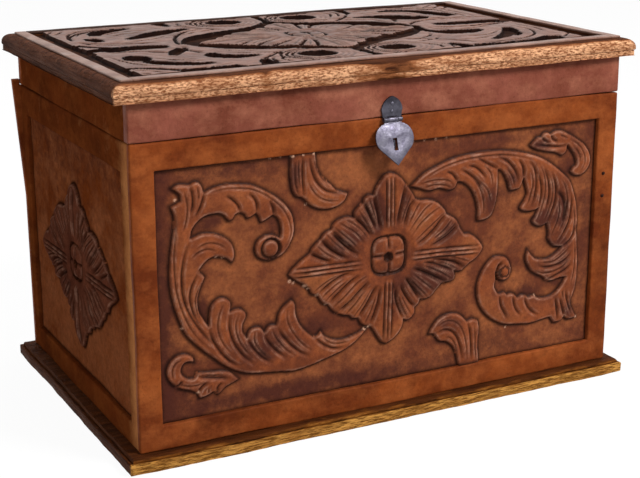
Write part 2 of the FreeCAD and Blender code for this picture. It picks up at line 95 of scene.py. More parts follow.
def patches(tree, place, size, shift, low, high, least=0.0, most=1.0, detail=5.0, roughness=0.65):
    """Cloudy noise stretched between two values. Its patches are so many millimetres wide, or long, wide and high."""
    sizes = size if isinstance(size, tuple) else (size, size, size)
    scale = [1.0 / (s * MM) for s in sizes]
    moved = add(tree, "Mapping", {"Vector": place, "Scale": scale, "Location": (shift, shift, shift)})
    noise = add(tree, "TexNoise", {"Vector": moved, "Scale": 1.0, "Detail": detail, "Roughness": roughness})
    return add(tree, "MapRange", {0: noise, 1: low, 2: high, 3: least, 4: most})


def painted(tree, colour, layers):
    """A colour with others laid over it in turn. Each layer is a mask and the colour that it brings."""
    for mask, over in layers:
        colour = add(tree, "Mix", {0: mask, 6: colour, 7: over}, 2, data_type="RGBA")
    return colour


def surfaced(tree, colour, roughness, relief, constants):
    """Join colour, roughness and fine relief to the shader. Relief is heights with their depths in millimetres."""
    inputs = {"Base Color": colour, "Roughness": roughness}
    for height, depth in relief:
        bump = {"Height": height, "Distance": depth * MM, "Strength": 1.0}
        if "Normal" in inputs:
            bump["Normal"] = inputs["Normal"]
        inputs["Normal"] = add(tree, "Bump", bump)
    inputs.update(constants)
    add(tree, "OutputMaterial", {"Surface": add(tree, "BsdfPrincipled", inputs)})


def hide(name, dark, mid, light, stain, pale, patch=48.0, gloss=0.5, shine=0.07):
    """Dyed cowhide, stretched wet over wood and waxed: cloudy brown with a fine grain and rubbed spots, and, where a
    piece is given them, patches of painted shade and painted light.
    """
    made, tree, place = new_tree(name)
    dye_and_painted_light = add(tree, "Attribute", {}, "Fac", attribute_name="dye_and_painted_light")
    ragged = patches(tree, place, 20.0, 21.0, 0.3, 0.7, -0.25, 0.25)
    dye_and_light_amount = add(tree, "Math", {0: dye_and_painted_light, 1: ragged})
    colour = painted(tree, linear(dark), [
        (patches(tree, place, patch, 0.0, 0.36, 0.62, detail=6.0), linear(mid)),
        (patches(tree, place, (34.0, 34.0, 24.0), 3.0, 0.42, 0.68, most=0.8), linear(light)),
        (patches(tree, place, 19.0, 13.0, 0.56, 0.7, most=0.4), linear(dark)),
        (patches(tree, place, 7.0, 17.0, 0.36, 0.66, most=0.3), linear(dark)),
        # Darker where the painted patches are above zero (dye and painted shade), paler below zero (wear and painted
        # light).
        (add(tree, "MapRange", {0: dye_and_light_amount, 1: 0.1, 2: 1.0, 4: 0.8}), linear(stain)),
        (add(tree, "MapRange", {0: dye_and_light_amount, 1: -0.1, 2: -1.0, 4: 0.85}), linear(pale)),
        (patches(tree, place, 2.6, 7.0, 0.55, 0.8, most=0.5), linear(stain)),
    ])
    sheen = patches(tree, place, 24.0, 11.0, 0.3, 0.7, gloss - 0.1, gloss + 0.12)
    # Real cowhide grain is about 0.5 mm across, and is drawn at 1.4 mm so that it shows.
    grain = patches(tree, place, 1.4, 5.0, 0.0, 1.0, detail=3.0)
    pulls = patches(tree, place, 16.0, 9.0, 0.0, 1.0, detail=4.0)
    # Old wax is half dull, so it shines less than a new finish.
    surfaced(tree, colour, sheen, [(grain, 0.18), (pulls, 1.3)], {"IOR": 1.46, "Specular IOR Level": shine})
    return made


def tooled_hide(name, ground, worn, relief, relief_dark, groove, rubbed_and_highlight, gloss, patch=34.0, shine=0.07,
                mottled=1.0):
    """Cowhide tooled wet over carved wood: dark in the cuts and round the leaves, partly stain and partly painted
    shade, and pale on the crests, partly worn and partly a painted highlight.
    """
    made, tree, place = new_tree(name)
    raised, cut_dye_and_shade, crest, dye_and_painted_light, chips = [add(tree, "Attribute", {}, "Fac", attribute_name=key)
                                      for key in ("raised", "cut_dye_and_shade", "crest", "dye_and_painted_light", "chips")]
    low = painted(tree, linear(ground), [
        (patches(tree, place, patch, 2.0, 0.38, 0.62, detail=6.0), linear(worn)),
        (patches(tree, place, (22.0, 22.0, 8.0), 4.0, 0.42, 0.72, most=0.3 * mottled), linear(relief_dark)),
    ])
    high = painted(tree, linear(relief), [
        (patches(tree, place, 26.0, 6.0, 0.42, 0.62, most=0.5), linear(relief_dark)),
    ])
    ragged = patches(tree, place, 11.0, 14.0, 0.3, 0.7, -0.35, 0.35, detail=6.0, roughness=0.7)
    dye_and_light_amount = add(tree, "Math", {0: dye_and_painted_light, 1: ragged})
    rub_and_highlight_patches = patches(tree, place, 13.0, 10.0, 0.45, 0.7, 0.1, 0.9)
    crumbs = patches(tree, place, 2.2, 19.0, 0.38, 0.52, detail=4.0)
    colour = painted(tree, low, [
        (raised, high),
        # Darker where the painted patches are above zero (dye and painted shade), paler below zero (wear and painted
        # light).
        (add(tree, "MapRange", {0: dye_and_light_amount, 1: 0.1, 2: 0.85, 4: 0.92}), linear(relief_dark)),
        (add(tree, "MapRange", {0: dye_and_light_amount, 1: -0.1, 2: -0.85, 4: 0.85}), linear(worn)),
        (patches(tree, place, 4.5, 17.0, 0.36, 0.66, most=0.4 * mottled, roughness=0.7), linear(relief_dark)),
        (patches(tree, place, 2.0, 8.0, 0.54, 0.8, most=0.55 * mottled, roughness=0.75), linear(groove)),
        # Pale on the crests: partly rubbed wear, partly a painted highlight.
        (add(tree, "Math", {0: crest, 1: rub_and_highlight_patches}, operation="MULTIPLY"), linear(rubbed_and_highlight)),
        # Dark in the cuts, round the leaves' feet, in creases, on walls and along the panel's edges: partly dye,
        # partly painted shade.
        (add(tree, "Math", {0: cut_dye_and_shade, 1: 0.94}, operation="MULTIPLY"), linear(groove)),
        (add(tree, "Math", {0: chips, 1: crumbs}, operation="MULTIPLY"), linear("#D6A486")),
    ])
    sheen = patches(tree, place, 15.0, 12.0, 0.3, 0.7, gloss - 0.08, gloss + 0.12)
    # Grain and backgrounding marks of about 1 mm, drawn at 1.6 mm so that they show.
    grain = patches(tree, place, 1.6, 5.0, 0.0, 1.0, detail=3.0)
    pulls = patches(tree, place, 7.0, 9.0, 0.0, 1.0, detail=4.0)
    # Old wax is half dull, so it shines less than a new finish.
    surfaced(tree, colour, sheen, [(grain, 0.2), (pulls, 0.8)], {"IOR": 1.46, "Specular IOR Level": shine})
    return made


def hardwood(name, bare, pore, amber, stain, stain_dark, pore_size, bare_front):
    """Open-pored hardwood, stained dark, rubbed back through an amber glow to bare wood along its front edge."""
    made, tree, place = new_tree(name)
    dye_and_painted_light = add(tree, "Attribute", {}, "Fac", attribute_name="dye_and_painted_light")
    across, deep, up = [add(tree, "SeparateXYZ", {0: place}, axis) for axis in (0, 1, 2)]
    facing = add(tree, "SeparateXYZ", {0: add(tree, "NewGeometry", {}, "True Normal")})
    sideways = add(tree, "Math", {0: facing}, operation="ABSOLUTE")
    sideways = add(tree, "MapRange", {0: sideways, 1: 0.6, 2: 0.8})
    crosswise = add(tree, "CombineXYZ", {0: deep, 1: across, 2: up})
    along = add(tree, "Mix", {0: sideways, 4: place, 5: crosswise}, 1, data_type="VECTOR")
    figure = patches(tree, along, (60.0, 7.0, 4.0), 0.0, 0.34, 0.66, detail=6.0)
    # Pores are open marks about 0.3 mm wide, drawn at 1 mm so that they show.
    pores = patches(tree, along, pore_size, 4.0, 0.44, 0.6, detail=4.0)
    front = add(tree, "MapRange", {0: deep, 1: bare_front[0] * MM, 2: bare_front[1] * MM})
    ragged = patches(tree, place, (30.0, 12.0, 7.0), 2.0, 0.3, 0.7, -0.5, 0.2, detail=6.0)
    worn = add(tree, "Math", {0: add(tree, "Math", {0: front, 1: ragged}), 1: dye_and_painted_light}, operation="SUBTRACT")
    bare_wood = painted(tree, linear(bare), [
        (patches(tree, place, (26.0, 20.0, 7.0), 6.0, 0.4, 0.66, most=0.7), linear(amber)),
        (pores, linear(pore)),
    ])
    colour = painted(tree, linear(stain), [
        (figure, linear(stain_dark)),
        (add(tree, "MapRange", {0: worn, 1: 0.05, 2: 0.4}), linear(amber)),
        (add(tree, "MapRange", {0: worn, 1: 0.3, 2: 0.7}), bare_wood),
    ])
    dull = add(tree, "MapRange", {0: figure, 3: 0.5, 4: 0.65})
    surfaced(tree, colour, dull, [(pores, -0.3), (figure, 0.4)], {"IOR": 1.5, "Specular IOR Level": 0.03})
    return made


def plain_board(name, light, dark):
    """Planed softwood of the carcass: pale, with straight grain, unstained inside."""
    made, tree, place = new_tree(name)
    fine = patches(tree, place, (60.0, 1.4, 1.4), 3.0, 0.4, 0.7, most=0.35, detail=3.0)
    figure = patches(tree, place, (220.0, 8.0, 8.0), 0.0, 0.35, 0.65)
    colour = painted(tree, linear(light), [(figure, linear(dark)), (fine, linear(dark))])
    surfaced(tree, colour, 0.62, [(fine, -0.3)], {"Specular IOR Level": 0.3})
    return made


def iron(name, bright, dull, rust, roughness):
    """Hammered wrought iron, wiped and handled: grey with darker scale and a soft, uneven gloss."""
    made, tree, place = new_tree(name)
    darkened = add(tree, "Attribute", {}, "Fac", attribute_name="dye_and_painted_light")
    colour = painted(tree, linear(bright), [
        (patches(tree, place, 6.0, 0.0, 0.35, 0.7), linear(dull)),
        # Darker where the piece's painted patches say; on the hasp's upper leaf that is towards its top.
        (darkened, linear("#1C1A1E")),
        (patches(tree, place, 2.2, 3.0, 0.6, 0.76, most=0.7, detail=4.0), linear(rust)),
    ])
    sheen = patches(tree, place, 4.0, 5.0, 0.3, 0.7, roughness - 0.1, roughness + 0.12)
    dents = patches(tree, place, 5.0, 8.0, 0.0, 1.0, detail=2.0)
    surfaced(tree, colour, sheen, [(dents, 0.35)], {"Metallic": 1.0})
    return made


# The smooth frames, the lid's front rim, and the frames and rims of the sides, which have lost their wax
frame_hide = hide("waxed_cowhide_frames", "#642C14", "#8E461E", "#A2582C", "#2E130A", "#AC6232", shine=0.03)
rim_hide = hide("waxed_cowhide_lid_rim", "#703A2A", "#8E5040", "#A86A52", "#30140C", "#A86A52", shine=0.05)
side_frame_hide = hide("dry_cowhide_side_frames", "#5E2C14", "#763818", "#86461F", "#2C120A", "#C88450",
                       gloss=0.6, shine=0.0)
# The tooled panels of the front and the sides
panel_hide = tooled_hide("tooled_cowhide_panels", "#6B3722", "#9C5A34", "#914C2A", "#4A241B", "#1C0A06",
                         "#C0917A", 0.48)
side_hide = tooled_hide("tooled_cowhide_sides", "#7E3C18", "#9C5A36", "#794430", "#4C271C", "#1C0B06",
                        "#B48670", 0.6, 40.0, 0.0)
# The lid's scrollwork, pale on its crests with rubbed wear and a painted highlight, the ground between its bands,
# blacked and darkened with painted shade, and the strips round it
lid_hide = tooled_hide("tooled_cowhide_lid", "#2E1A14", "#5C3E34", "#80594A", "#482A20", "#140806",
                       "#BCA092", 0.44, 30.0, 0.28, 0.8)
lid_ground = tooled_hide("blacked_and_shaded_lid_ground", "#28140C", "#4A2A1A", "#3A2016", "#1A0D08", "#0E0504",
                         "#2C1812", 0.75, 20.0, 0.03)
border_hide = hide("skived_cowhide_strips", "#644538", "#8C6454", "#A68474", "#2E1A14", "#A68474", 30.0,
                   0.42, 0.28)
# The back strip is darker and duller than the other strips: painted shade along the lid's back edge.
dark_border_hide = hide("shaded_back_cowhide_strip", "#2A1812", "#3A241C", "#463028", "#140A08", "#463028", 30.0,
                        0.6, 0.02)
# The lid board and the base board
lid_wood = hardwood("stained_hardwood_lid_board", "#EBB286", "#804A2C", "#925834", "#62361E", "#34190D",
                    (4.0, 2.0, 1.4), (-156.0, -161.0))
base_wood = hardwood("stained_hardwood_base_board", "#CC9248", "#6E4418", "#8A521E", "#5C3014", "#34180A",
                     (9.0, 1.6, 1.0), (-162.4, -166.8))
# The boards that show when the lid is open
carcass_wood = plain_board("planed_pine_carcass", "#C9A678", "#A98253")
# The hasp's flap, the other ironwork and the old nails
bright_iron = iron("wiped_wrought_iron", "#6C6974", "#4E4A58", "#38302E", 0.46)
dark_iron = iron("blackened_wrought_iron", "#5C5A64", "#3E3C44", "#30261E", 0.48)
nail_iron = iron("rusted_nail_iron", "#34201A", "#221310", "#1A0C08", 0.6)


# Modelling

def rest_all():
    """Leave edit mode and deselect everything."""
    if bpy.context.mode != "OBJECT":
        bpy.ops.object.mode_set(mode="OBJECT")
    bpy.ops.object.select_all(action="DESELECT")


def take(piece):
    """Make one piece the only one selected."""
    rest_all()
    bpy.context.view_layer.objects.active = piece
    piece.select_set(True)


def settle(piece):
    """Put the piece's place, turn and size into its mesh."""
    take(piece)
    bpy.ops.object.transform_apply(location=True, rotation=True, scale=True)


def modify(piece, kind, **settings):
    """Add a modifier and apply it."""
    take(piece)
    made = piece.modifiers.new(kind.title(), kind)
    for key, value in settings.items():
        setattr(made, key, value)
    bpy.ops.object.modifier_apply(modifier=made.name)


def corners(piece):
    """The piece's vertices as an array, in millimetres."""
    flat = np.zeros(len(piece.data.vertices) * 3)
    piece.data.vertices.foreach_get("co", flat)
    return flat.reshape(-1, 3) / MM


def put_corners(piece, places):
    piece.data.vertices.foreach_set("co", (places * MM).ravel())
    piece.data.update()


def even_out(piece):
    """Merge doubles and turn every face outwards."""
    take(piece)
    bpy.ops.object.mode_set(mode="EDIT")
    bpy.ops.mesh.select_all(action="SELECT")
    bpy.ops.mesh.remove_doubles(threshold=0.01 * MM)
    bpy.ops.mesh.normals_make_consistent(inside=False)
    bpy.ops.object.mode_set(mode="OBJECT")


def fit(piece, material, body, replaced=(), smooth=35.0):
    """Finish a piece: its material, its shading, its body and the CAD nodes that it stands for."""
    piece.data.materials.clear()
    piece.data.materials.append(material)
    take(piece)
    if smooth is None:
        bpy.ops.object.shade_smooth()
    else:
        bpy.ops.object.shade_smooth_by_angle(angle=math.radians(smooth))
    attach(piece, body)
    if replaced:
        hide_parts(*replaced)
    return piece


def uneven(places, size, amount, seed):
    """Soft unevenness of hand work: a smooth offset along each axis for every place."""
    picked = np.random.default_rng(seed)
    offset = np.zeros_like(places)
    for _ in range(7):
        wave = picked.normal(size=(3, places.shape[1])) * (2.0 / size)
        phase = picked.uniform(0, 2 * math.pi, 3)
        for axis in range(places.shape[1]):
            offset[:, axis] += np.sin(places @ wave[axis] + phase[axis])
    return offset * (amount / 2.6)


def wobble(piece, size, amount, seed):
    places = corners(piece)
    put_corners(piece, places + uneven(places, size, amount, seed))


def dye_and_light_spots(piece, spots):
    """Paint soft patches of staining and worn places, and of painted shade and painted light: middle, reach in
    millimetres, and how much darker, paler below zero.
    """
    places = corners(piece)
    dye_and_painted_light = np.zeros(len(places), np.float32)
    for middle, reach, amount in spots:
        away = (places - np.array(middle)) / np.array(reach)
        dye_and_painted_light += amount * np.exp(-(away ** 2).sum(axis=1))
    piece.data.attributes.new("dye_and_painted_light", "FLOAT", "POINT").data.foreach_set("value", np.clip(dye_and_painted_light, -1, 1))


# Each facing: how a flat grid is turned to it, its two axes, the axis it looks along, and which way
FACINGS = {
    "front": ((90, 0, 0), 0, 2, 1, -1),
    "back": ((90, 0, 180), 0, 2, 1, 1),
    "left": ((90, 0, -90), 1, 2, 0, -1),
    "right": ((90, 0, 90), 1, 2, 0, 1),
    "top": ((0, 0, 0), 0, 1, 2, 1),
}


def flat_grid(name, facing, low, high, columns, rows):
    """A flat grid over the side of a block that faces one way, in millimetres."""
    turn, across, up, out, way = FACINGS[facing]
    middle = (np.array(low) + np.array(high)) / 2
    middle[out] = high[out] if way > 0 else low[out]
    rest_all()
    bpy.ops.mesh.primitive_grid_add(x_subdivisions=columns, y_subdivisions=rows, size=1,
                                    location=middle * MM, rotation=[math.radians(a) for a in turn])
    piece = bpy.context.object
    piece.name = name
    piece.data.name = name
    piece.scale = ((high[across] - low[across]) * MM, (high[up] - low[up]) * MM, 1)
    settle(piece)
    return piece


def spread(start, stops, cell):
    """Places from a start through some stops, with cells of about one size between them."""
    places = [start]
    for stop in stops:
        count = max(1, round((stop - places[-1]) / cell))
        places += list(np.linspace(places[-1], stop, count + 1)[1:])
    return np.array(places)


def leather_plate(name, facing, low, high, opening=None, cell=7.0, round_over=1.6, wave=0.3, seed=1):
    """A leather-covered board with soft edges, and an opening through it if one is given."""
    turn, across, up, out, way = FACINGS[facing]
    stops_across = [high[across]]
    stops_up = [high[up]]
    if opening:
        stops_across = [opening[0], opening[1], high[across]]
        stops_up = [opening[2], opening[3], high[up]]
    columns = spread(low[across], stops_across, cell)
    rows = spread(low[up], stops_up, cell)
    piece = flat_grid(name, facing, low, high, len(columns) - 1, len(rows) - 1)
    places = corners(piece)
    for axis, wanted in ((across, columns), (up, rows)):
        share = (places[:, axis] - low[axis]) / (high[axis] - low[axis])
        places[:, axis] = wanted[np.rint(share * (len(wanted) - 1)).astype(int)]
    put_corners(piece, places)
    if opening:
        for face in piece.data.polygons:
            u = face.center[across] / MM
            v = face.center[up] / MM
            face.select = opening[0] < u < opening[1] and opening[2] < v < opening[3]
        for vertex in piece.data.vertices:
            vertex.select = False
        for edge in piece.data.edges:
            edge.select = False
        take(piece)
        bpy.ops.object.mode_set(mode="EDIT")
        bpy.ops.mesh.select_mode(type="FACE")
        bpy.ops.mesh.delete(type="FACE")
        bpy.ops.object.mode_set(mode="OBJECT")
    modify(piece, "SOLIDIFY", thickness=(high[out] - low[out]) * MM, offset=-1)
    modify(piece, "BEVEL", width=round_over * MM, segments=4, limit_method="ANGLE")
    wobble(piece, 60.0, wave, seed)
    wobble(piece, 17.0, 0.3 * wave, seed + 50)
    even_out(piece)
    return piece


def profile_board(name, low, high, profile, cell, wave, seed):
    """A board whose edge follows a profile of (set-back, height) pairs, from its underside up."""
    columns = round((high[0] - low[0]) / cell)
    rows = round((high[1] - low[1]) / cell)
    piece = flat_grid(name, "top", low, (high[0], high[1], low[2]), columns, rows)
    middle = (np.array(low) + np.array(high)) / 2
    take(piece)
    bpy.ops.object.mode_set(mode="EDIT")
    bpy.ops.mesh.select_mode(type="FACE")
    bpy.ops.mesh.select_all(action="SELECT")
    width = high[0] - low[0]
    depth = high[1] - low[1]
    inset = 0.0
    level = low[2]
    for set_back, height in profile:
        bpy.ops.mesh.extrude_region_move(TRANSFORM_OT_translate={"value": (0, 0, (height - level) * MM)})
        shrink_x = (width - 2 * set_back) / (width - 2 * inset)
        shrink_y = (depth - 2 * set_back) / (depth - 2 * inset)
        bpy.ops.transform.resize(value=(shrink_x, shrink_y, 1), center_override=Vector(middle) * MM)
        inset = set_back
        level = height
    bpy.ops.object.mode_set(mode="OBJECT")
    even_out(piece)
    wobble(piece, 45.0, wave, seed)
    wobble(piece, 9.0, 0.35 * wave, seed + 50)
    return piece


def copy_of(node, name):
    """A separate copy of a CAD node, with its loose triangles merged."""
    piece = bpy.data.objects.new(name, nodes[node].data.copy())
    bpy.context.scene.collection.objects.link(piece)
    piece.data.name = name
    even_out(piece)
    take(piece)
    bpy.ops.object.mode_set(mode="EDIT")
    bpy.ops.mesh.select_all(action="SELECT")
    bpy.ops.mesh.dissolve_limited(angle_limit=math.radians(0.5))
    bpy.ops.object.mode_set(mode="OBJECT")
    return piece


# Drawing of the ornament, in millimetres on the face of a panel

def smooth_line(points, step=1.4):
    """A smooth line through given points."""
    points = np.array(points, float)
    ends = np.vstack([2 * points[0] - points[1], points, 2 * points[-1] - points[-2]])
    line = []
    for a, b, c, d in zip(ends, ends[1:], ends[2:], ends[3:]):
        count = max(1, int(np.linalg.norm(c - b) / step))
        for t in np.arange(count) / count:
            line.append(0.5 * (2 * b + (c - a) * t + (2 * a - 5 * b + 4 * c - d) * t ** 2
                               + (3 * b - a - 3 * c + d) * t ** 3))
    line.append(points[-1])
    return np.array(line)


def outline_of(strokes):
    """One closed outline made of strokes that meet at sharp corners."""
    return np.vstack([smooth_line(stroke)[:-1] for stroke in strokes])


def ring(centre, radius, squash=1.0):
    angles = np.arange(0, 2 * math.pi, 1.4 / radius)
    return np.stack([centre[0] + radius * np.cos(angles), centre[1] + squash * radius * np.sin(angles)], 1)


def strip(spine, half_widths):
    """The outline of a band round a spine whose half width changes along it."""
    line = smooth_line(spine)
    travel = np.concatenate([[0], np.cumsum(np.linalg.norm(np.diff(line, axis=0), axis=1))])
    share = travel / travel[-1]
    half = np.interp(share, np.linspace(0, 1, len(half_widths)), half_widths)
    along = np.gradient(line, axis=0)
    along /= np.linalg.norm(along, axis=1)[:, None]
    across = np.stack([-along[:, 1], along[:, 0]], 1) * half[:, None]
    return np.vstack([line + across, (line - across)[::-1]])


def beside(spine, offsets):
    """A smooth line beside a spine, with an offset that changes along it."""
    line = smooth_line(spine)
    share = np.linspace(0, 1, len(line))
    shift = np.interp(share, np.linspace(0, 1, len(offsets)), offsets)
    along = np.gradient(line, axis=0)
    along /= np.linalg.norm(along, axis=1)[:, None]
    return line + np.stack([-along[:, 1], along[:, 0]], 1) * shift[:, None]


def placed(strokes, centre, scale=(1, 1)):
    """Strokes scaled, mirrored by a negative scale, and moved to a centre."""
    return [[(centre[0] + scale[0] * x, centre[1] + scale[1] * y) for x, y in stroke]
            for stroke in strokes]


def to_line(points, line):
    """For each point: its distance to a line, how far along the nearest place is, and that place."""
    best = np.full(len(points), 1e9)
    share = np.zeros(len(points))
    place = points.copy()
    count = len(line) - 1
    for index in range(count):
        a = line[index]
        b = line[index + 1]
        edge = b - a
        length = edge @ edge
        if length < 1e-9:
            continue
        t = np.clip((points - a) @ edge / length, 0, 1)
        nearest = a + t[:, None] * edge
        distance = np.hypot(*(points - nearest).T)
        closer = distance < best
        best[closer] = distance[closer]
        share[closer] = (index + t[closer]) / count
        place[closer] = nearest[closer]
    return best, share, place


def inside_of(points, outline):
    """Which points lie inside a closed outline."""
    within = np.zeros(len(points), bool)
    x, y = points.T
    for (x0, y0), (x1, y1) in zip(outline, np.roll(outline, -1, axis=0)):
        if y0 == y1:
            continue
        crosses = (y0 > y) != (y1 > y)
        within ^= crosses & (x < (x1 - x0) * (y - y0) / (y1 - y0) + x0)
    return within


def ease(value):
    """0 to 1, with a soft start and end."""
    value = np.clip(value, 0, 1)
    return value * value * (3 - 2 * value)


class TooledPanel:
    """A leather panel whose face is a fine grid, raised into leaves and cut with grooves."""

    def __init__(self, name, facing, low, high, cell):
        turn, self.across, self.up, self.out, self.way = FACINGS[facing]
        columns = round((high[self.across] - low[self.across]) / cell)
        rows = round((high[self.up] - low[self.up]) / cell)
        self.cell = cell
        self.low = low
        self.high = high
        self.piece = flat_grid(name, facing, low, high, columns, rows)
        self.count = len(self.piece.data.vertices)
        self.close_back(high[self.out] - low[self.out])
        self.at = corners(self.piece)[:self.count][:, [self.across, self.up]]
        self.height = np.zeros(self.count)
        self.cut_dye_and_shade = np.zeros(self.count)
        self.crest = np.zeros(self.count)
        self.raised = np.zeros(self.count)
        self.dye_and_painted_light = np.zeros(self.count)
        self.chips = np.zeros(self.count)
        self.fixed = np.zeros(self.count, bool)

    def close_back(self, thickness):
        """Give the grid its thickness and a plain back."""
        take(self.piece)
        bpy.ops.object.mode_set(mode="EDIT")
        bpy.ops.mesh.select_mode(type="EDGE")
        bpy.ops.mesh.select_all(action="DESELECT")
        bpy.ops.mesh.select_non_manifold(extend=False, use_wire=False, use_multi_face=False,
                                         use_non_contiguous=False, use_verts=False)
        inwards = [0.0, 0.0, 0.0]
        inwards[self.out] = -self.way * thickness * MM
        bpy.ops.mesh.extrude_edges_move(TRANSFORM_OT_translate={"value": inwards})
        bpy.ops.mesh.edge_face_add()
        bpy.ops.mesh.select_all(action="SELECT")
        bpy.ops.mesh.normals_make_consistent(inside=False)
        bpy.ops.object.mode_set(mode="OBJECT")

    def near(self, line, margin):
        """Which grid points lie in the box round a line."""
        low = line.min(0) - margin
        high = line.max(0) + margin
        return np.flatnonzero(np.all((self.at > low) & (self.at < high), axis=1))

    def measure(self, line, margin):
        """Distances of the grid points round a line, after the closest ones have moved onto it."""
        chosen = self.near(line, margin)
        distance, share, place = to_line(self.at[chosen], line)
        snap = (distance < 0.45 * self.cell) & ~self.fixed[chosen]
        self.at[chosen[snap]] = place[snap]
        self.fixed[chosen[snap]] = True
        distance[snap] = 0
        return chosen, distance, share

    def leaf(self, outline, top, cuts=(), lines=(), edge=2.6, crown=0.8, crown_reach=11.0):
        """Raise one leaf inside an outline, with a rounded edge, and make its deep cuts and fine lines."""
        closed = np.vstack([outline, outline[:1]])
        chosen, distance, _ = self.measure(closed, 5.0)
        under = self.height.copy()
        within = np.zeros(self.count, bool)
        within[chosen] = inside_of(self.at[chosen], outline)
        away = np.full(self.count, 99.0)
        away[chosen] = distance
        rise = np.sqrt(1 - (1 - np.clip(away / edge, 0, 1)) ** 2)
        surface = top * rise + crown * ease(away / crown_reach)
        # Dark at the leaf's outline and along its cuts and lines: partly dye in the cuts, partly painted shade.
        dark = np.exp(-(away / 0.7) ** 2)
        # Pale on the rounded edge and on the shoulders of the cuts: partly rubbed wear, partly a painted highlight.
        bright = 0.8 * np.exp(-((away - 1.8) / 0.8) ** 2)
        for group, width, depth, ink_and_shade in ((cuts, 3.0, 2.1, 1.0), (lines, 1.7, 0.9, 0.8)):
            for vein in group:
                line = vein if isinstance(vein, np.ndarray) else smooth_line(vein)
                picked, off, share = self.measure(line, width + 1)
                ends = np.clip(np.minimum(share, 1 - share) * 4, 0, 1) ** 0.7
                surface[picked] -= depth * ends * np.clip(1 - off / width, 0, 1) ** 1.4
                reach = max(0.36 * width, 0.72 * self.cell)
                dark[picked] = np.maximum(dark[picked], ink_and_shade * ends * np.exp(-(off / reach) ** 2))
                ridge = 0.7 * ends * np.exp(-((off - 0.9 * width) / 0.6) ** 2)
                bright[picked] = np.maximum(bright[picked], ridge)
        own = within & (surface >= under)
        # Creases where the leaf meets one beneath are sunk and darkened, and the ground round its foot is darkened:
        # painted shade.
        crease = within & (under > 0.6) & (np.abs(surface - under) < 0.7) & (away < 3.5)
        foot = ~within & (under < 0.8 * top) & (away < 5)
        self.height[own] = np.maximum(surface[own], 0.15)
        self.cut_dye_and_shade[own] = dark[own]
        self.crest[own] = bright[own]
        self.raised[own] = 1
        self.height[crease] -= 0.5
        self.cut_dye_and_shade[crease] = np.maximum(self.cut_dye_and_shade[crease], 0.85)
        self.cut_dye_and_shade[foot] = np.maximum(self.cut_dye_and_shade[foot], 0.95 * np.exp(-(away[foot] / 2.3) ** 2))
        return own

    def groove(self, line, width, depth, darkness=1.0):
        """Cut a groove across whatever is there."""
        picked, away, share = self.measure(line, width + 1)
        ends = np.clip(np.minimum(share, 1 - share) * 6, 0, 1) ** 0.6
        self.height[picked] -= depth * ends * np.clip(1 - away / width, 0, 1) ** 1.2
        # The groove is darkened: partly dye in the cut, partly painted shade.
        self.cut_dye_and_shade[picked] = np.maximum(self.cut_dye_and_shade[picked], darkness * ends * np.exp(-(away / (0.5 * width)) ** 2))

    def ridge(self, line, half_width, height, shine=0.9):
        """Raise a narrow rib along a line, with its crest pale: partly worn, partly a painted highlight."""
        picked, away, share = self.measure(line, 2 * half_width + 1)
        form = np.clip(np.minimum(share, 1 - share) * 6, 0, 1) ** 0.6 * np.exp(-(away / half_width) ** 2)
        self.height[picked] += height * form
        self.crest[picked] = np.maximum(self.crest[picked], shine * form)
        self.cut_dye_and_shade[picked] *= 1 - form

    def dish(self, centre, radius, level):
        """Press a round place smooth, down to a level."""
        away = np.hypot(*(self.at - np.array(centre)).T)
        form = 1 - ease((away / radius - 0.8) / 0.2)
        self.height += (level - self.height) * form
        self.cut_dye_and_shade *= 1 - form
        self.crest *= 1 - form

    def hollow(self, outline, floor=0.0, wall=1.3, ink_and_shade=0.5):
        """Cut the area inside an outline down to a level, with a steep wall and a rounded brink."""
        closed = np.vstack([outline, outline[:1]])
        chosen, distance, _ = self.measure(closed, 5.0)
        within = inside_of(self.at[chosen], outline)
        height = self.height[chosen]
        drop = ease(distance / wall)
        sunk = np.minimum(height, height + (floor - height) * drop)
        brink = height - np.where(height > floor + 1, 0.7 * np.clip(1 - distance / 1.6, 0, 1) ** 2, 0)
        self.height[chosen] = np.where(within, sunk, brink)
        self.raised[chosen[within]] = 0
        self.crest[chosen[within]] = 0
        # The floor is darkened towards the wall and the brink along its edge: partly dye, partly painted shade.
        wall_ink_and_shade = np.where(within, 1 - (1 - ink_and_shade) * ease(distance / 4.5), 0.7 * np.exp(-(distance / 0.8) ** 2))
        self.cut_dye_and_shade[chosen] = np.maximum(self.cut_dye_and_shade[chosen], np.where(height > floor + 1, wall_ink_and_shade, 0))

    def chip(self, spots):
        """Small places where the dyed surface is knocked off and paler hide shows."""
        for x, y, reach in spots:
            patch = np.exp(-(((self.at[:, 0] - x) ** 2 + (self.at[:, 1] - y) ** 2) / reach ** 2) ** 2)
            self.chips = np.maximum(self.chips, patch)

    def stain(self, spots, mask=None):
        """Paint soft patches of staining and worn places, and of painted shade and painted light: middle, half sizes,
        and how much darker (or paler, below zero).
        """
        for x, y, reach_x, reach_y, amount in spots:
            patch = amount * np.exp(-((self.at[:, 0] - x) / reach_x) ** 2 - ((self.at[:, 1] - y) / reach_y) ** 2)
            self.dye_and_painted_light += patch if mask is None else patch * mask

    def finish(self, seed, ground_wave=0.35):
        """Write the grid's new places and what its finish reads."""
        self.height += uneven(self.at, 48.0, ground_wave, seed)[:, 0]
        self.height += uneven(self.at, 7.0, 0.12, seed + 1)[:, 0]
        places = corners(self.piece)
        places[:self.count, self.across] = self.at[:, 0]
        places[:self.count, self.up] = self.at[:, 1]
        places[:self.count, self.out] += self.way * self.height
        put_corners(self.piece, places)
        edges = [self.at[:, 0] - self.low[self.across], self.high[self.across] - self.at[:, 0],
                 self.at[:, 1] - self.low[self.up], self.high[self.up] - self.at[:, 1]]
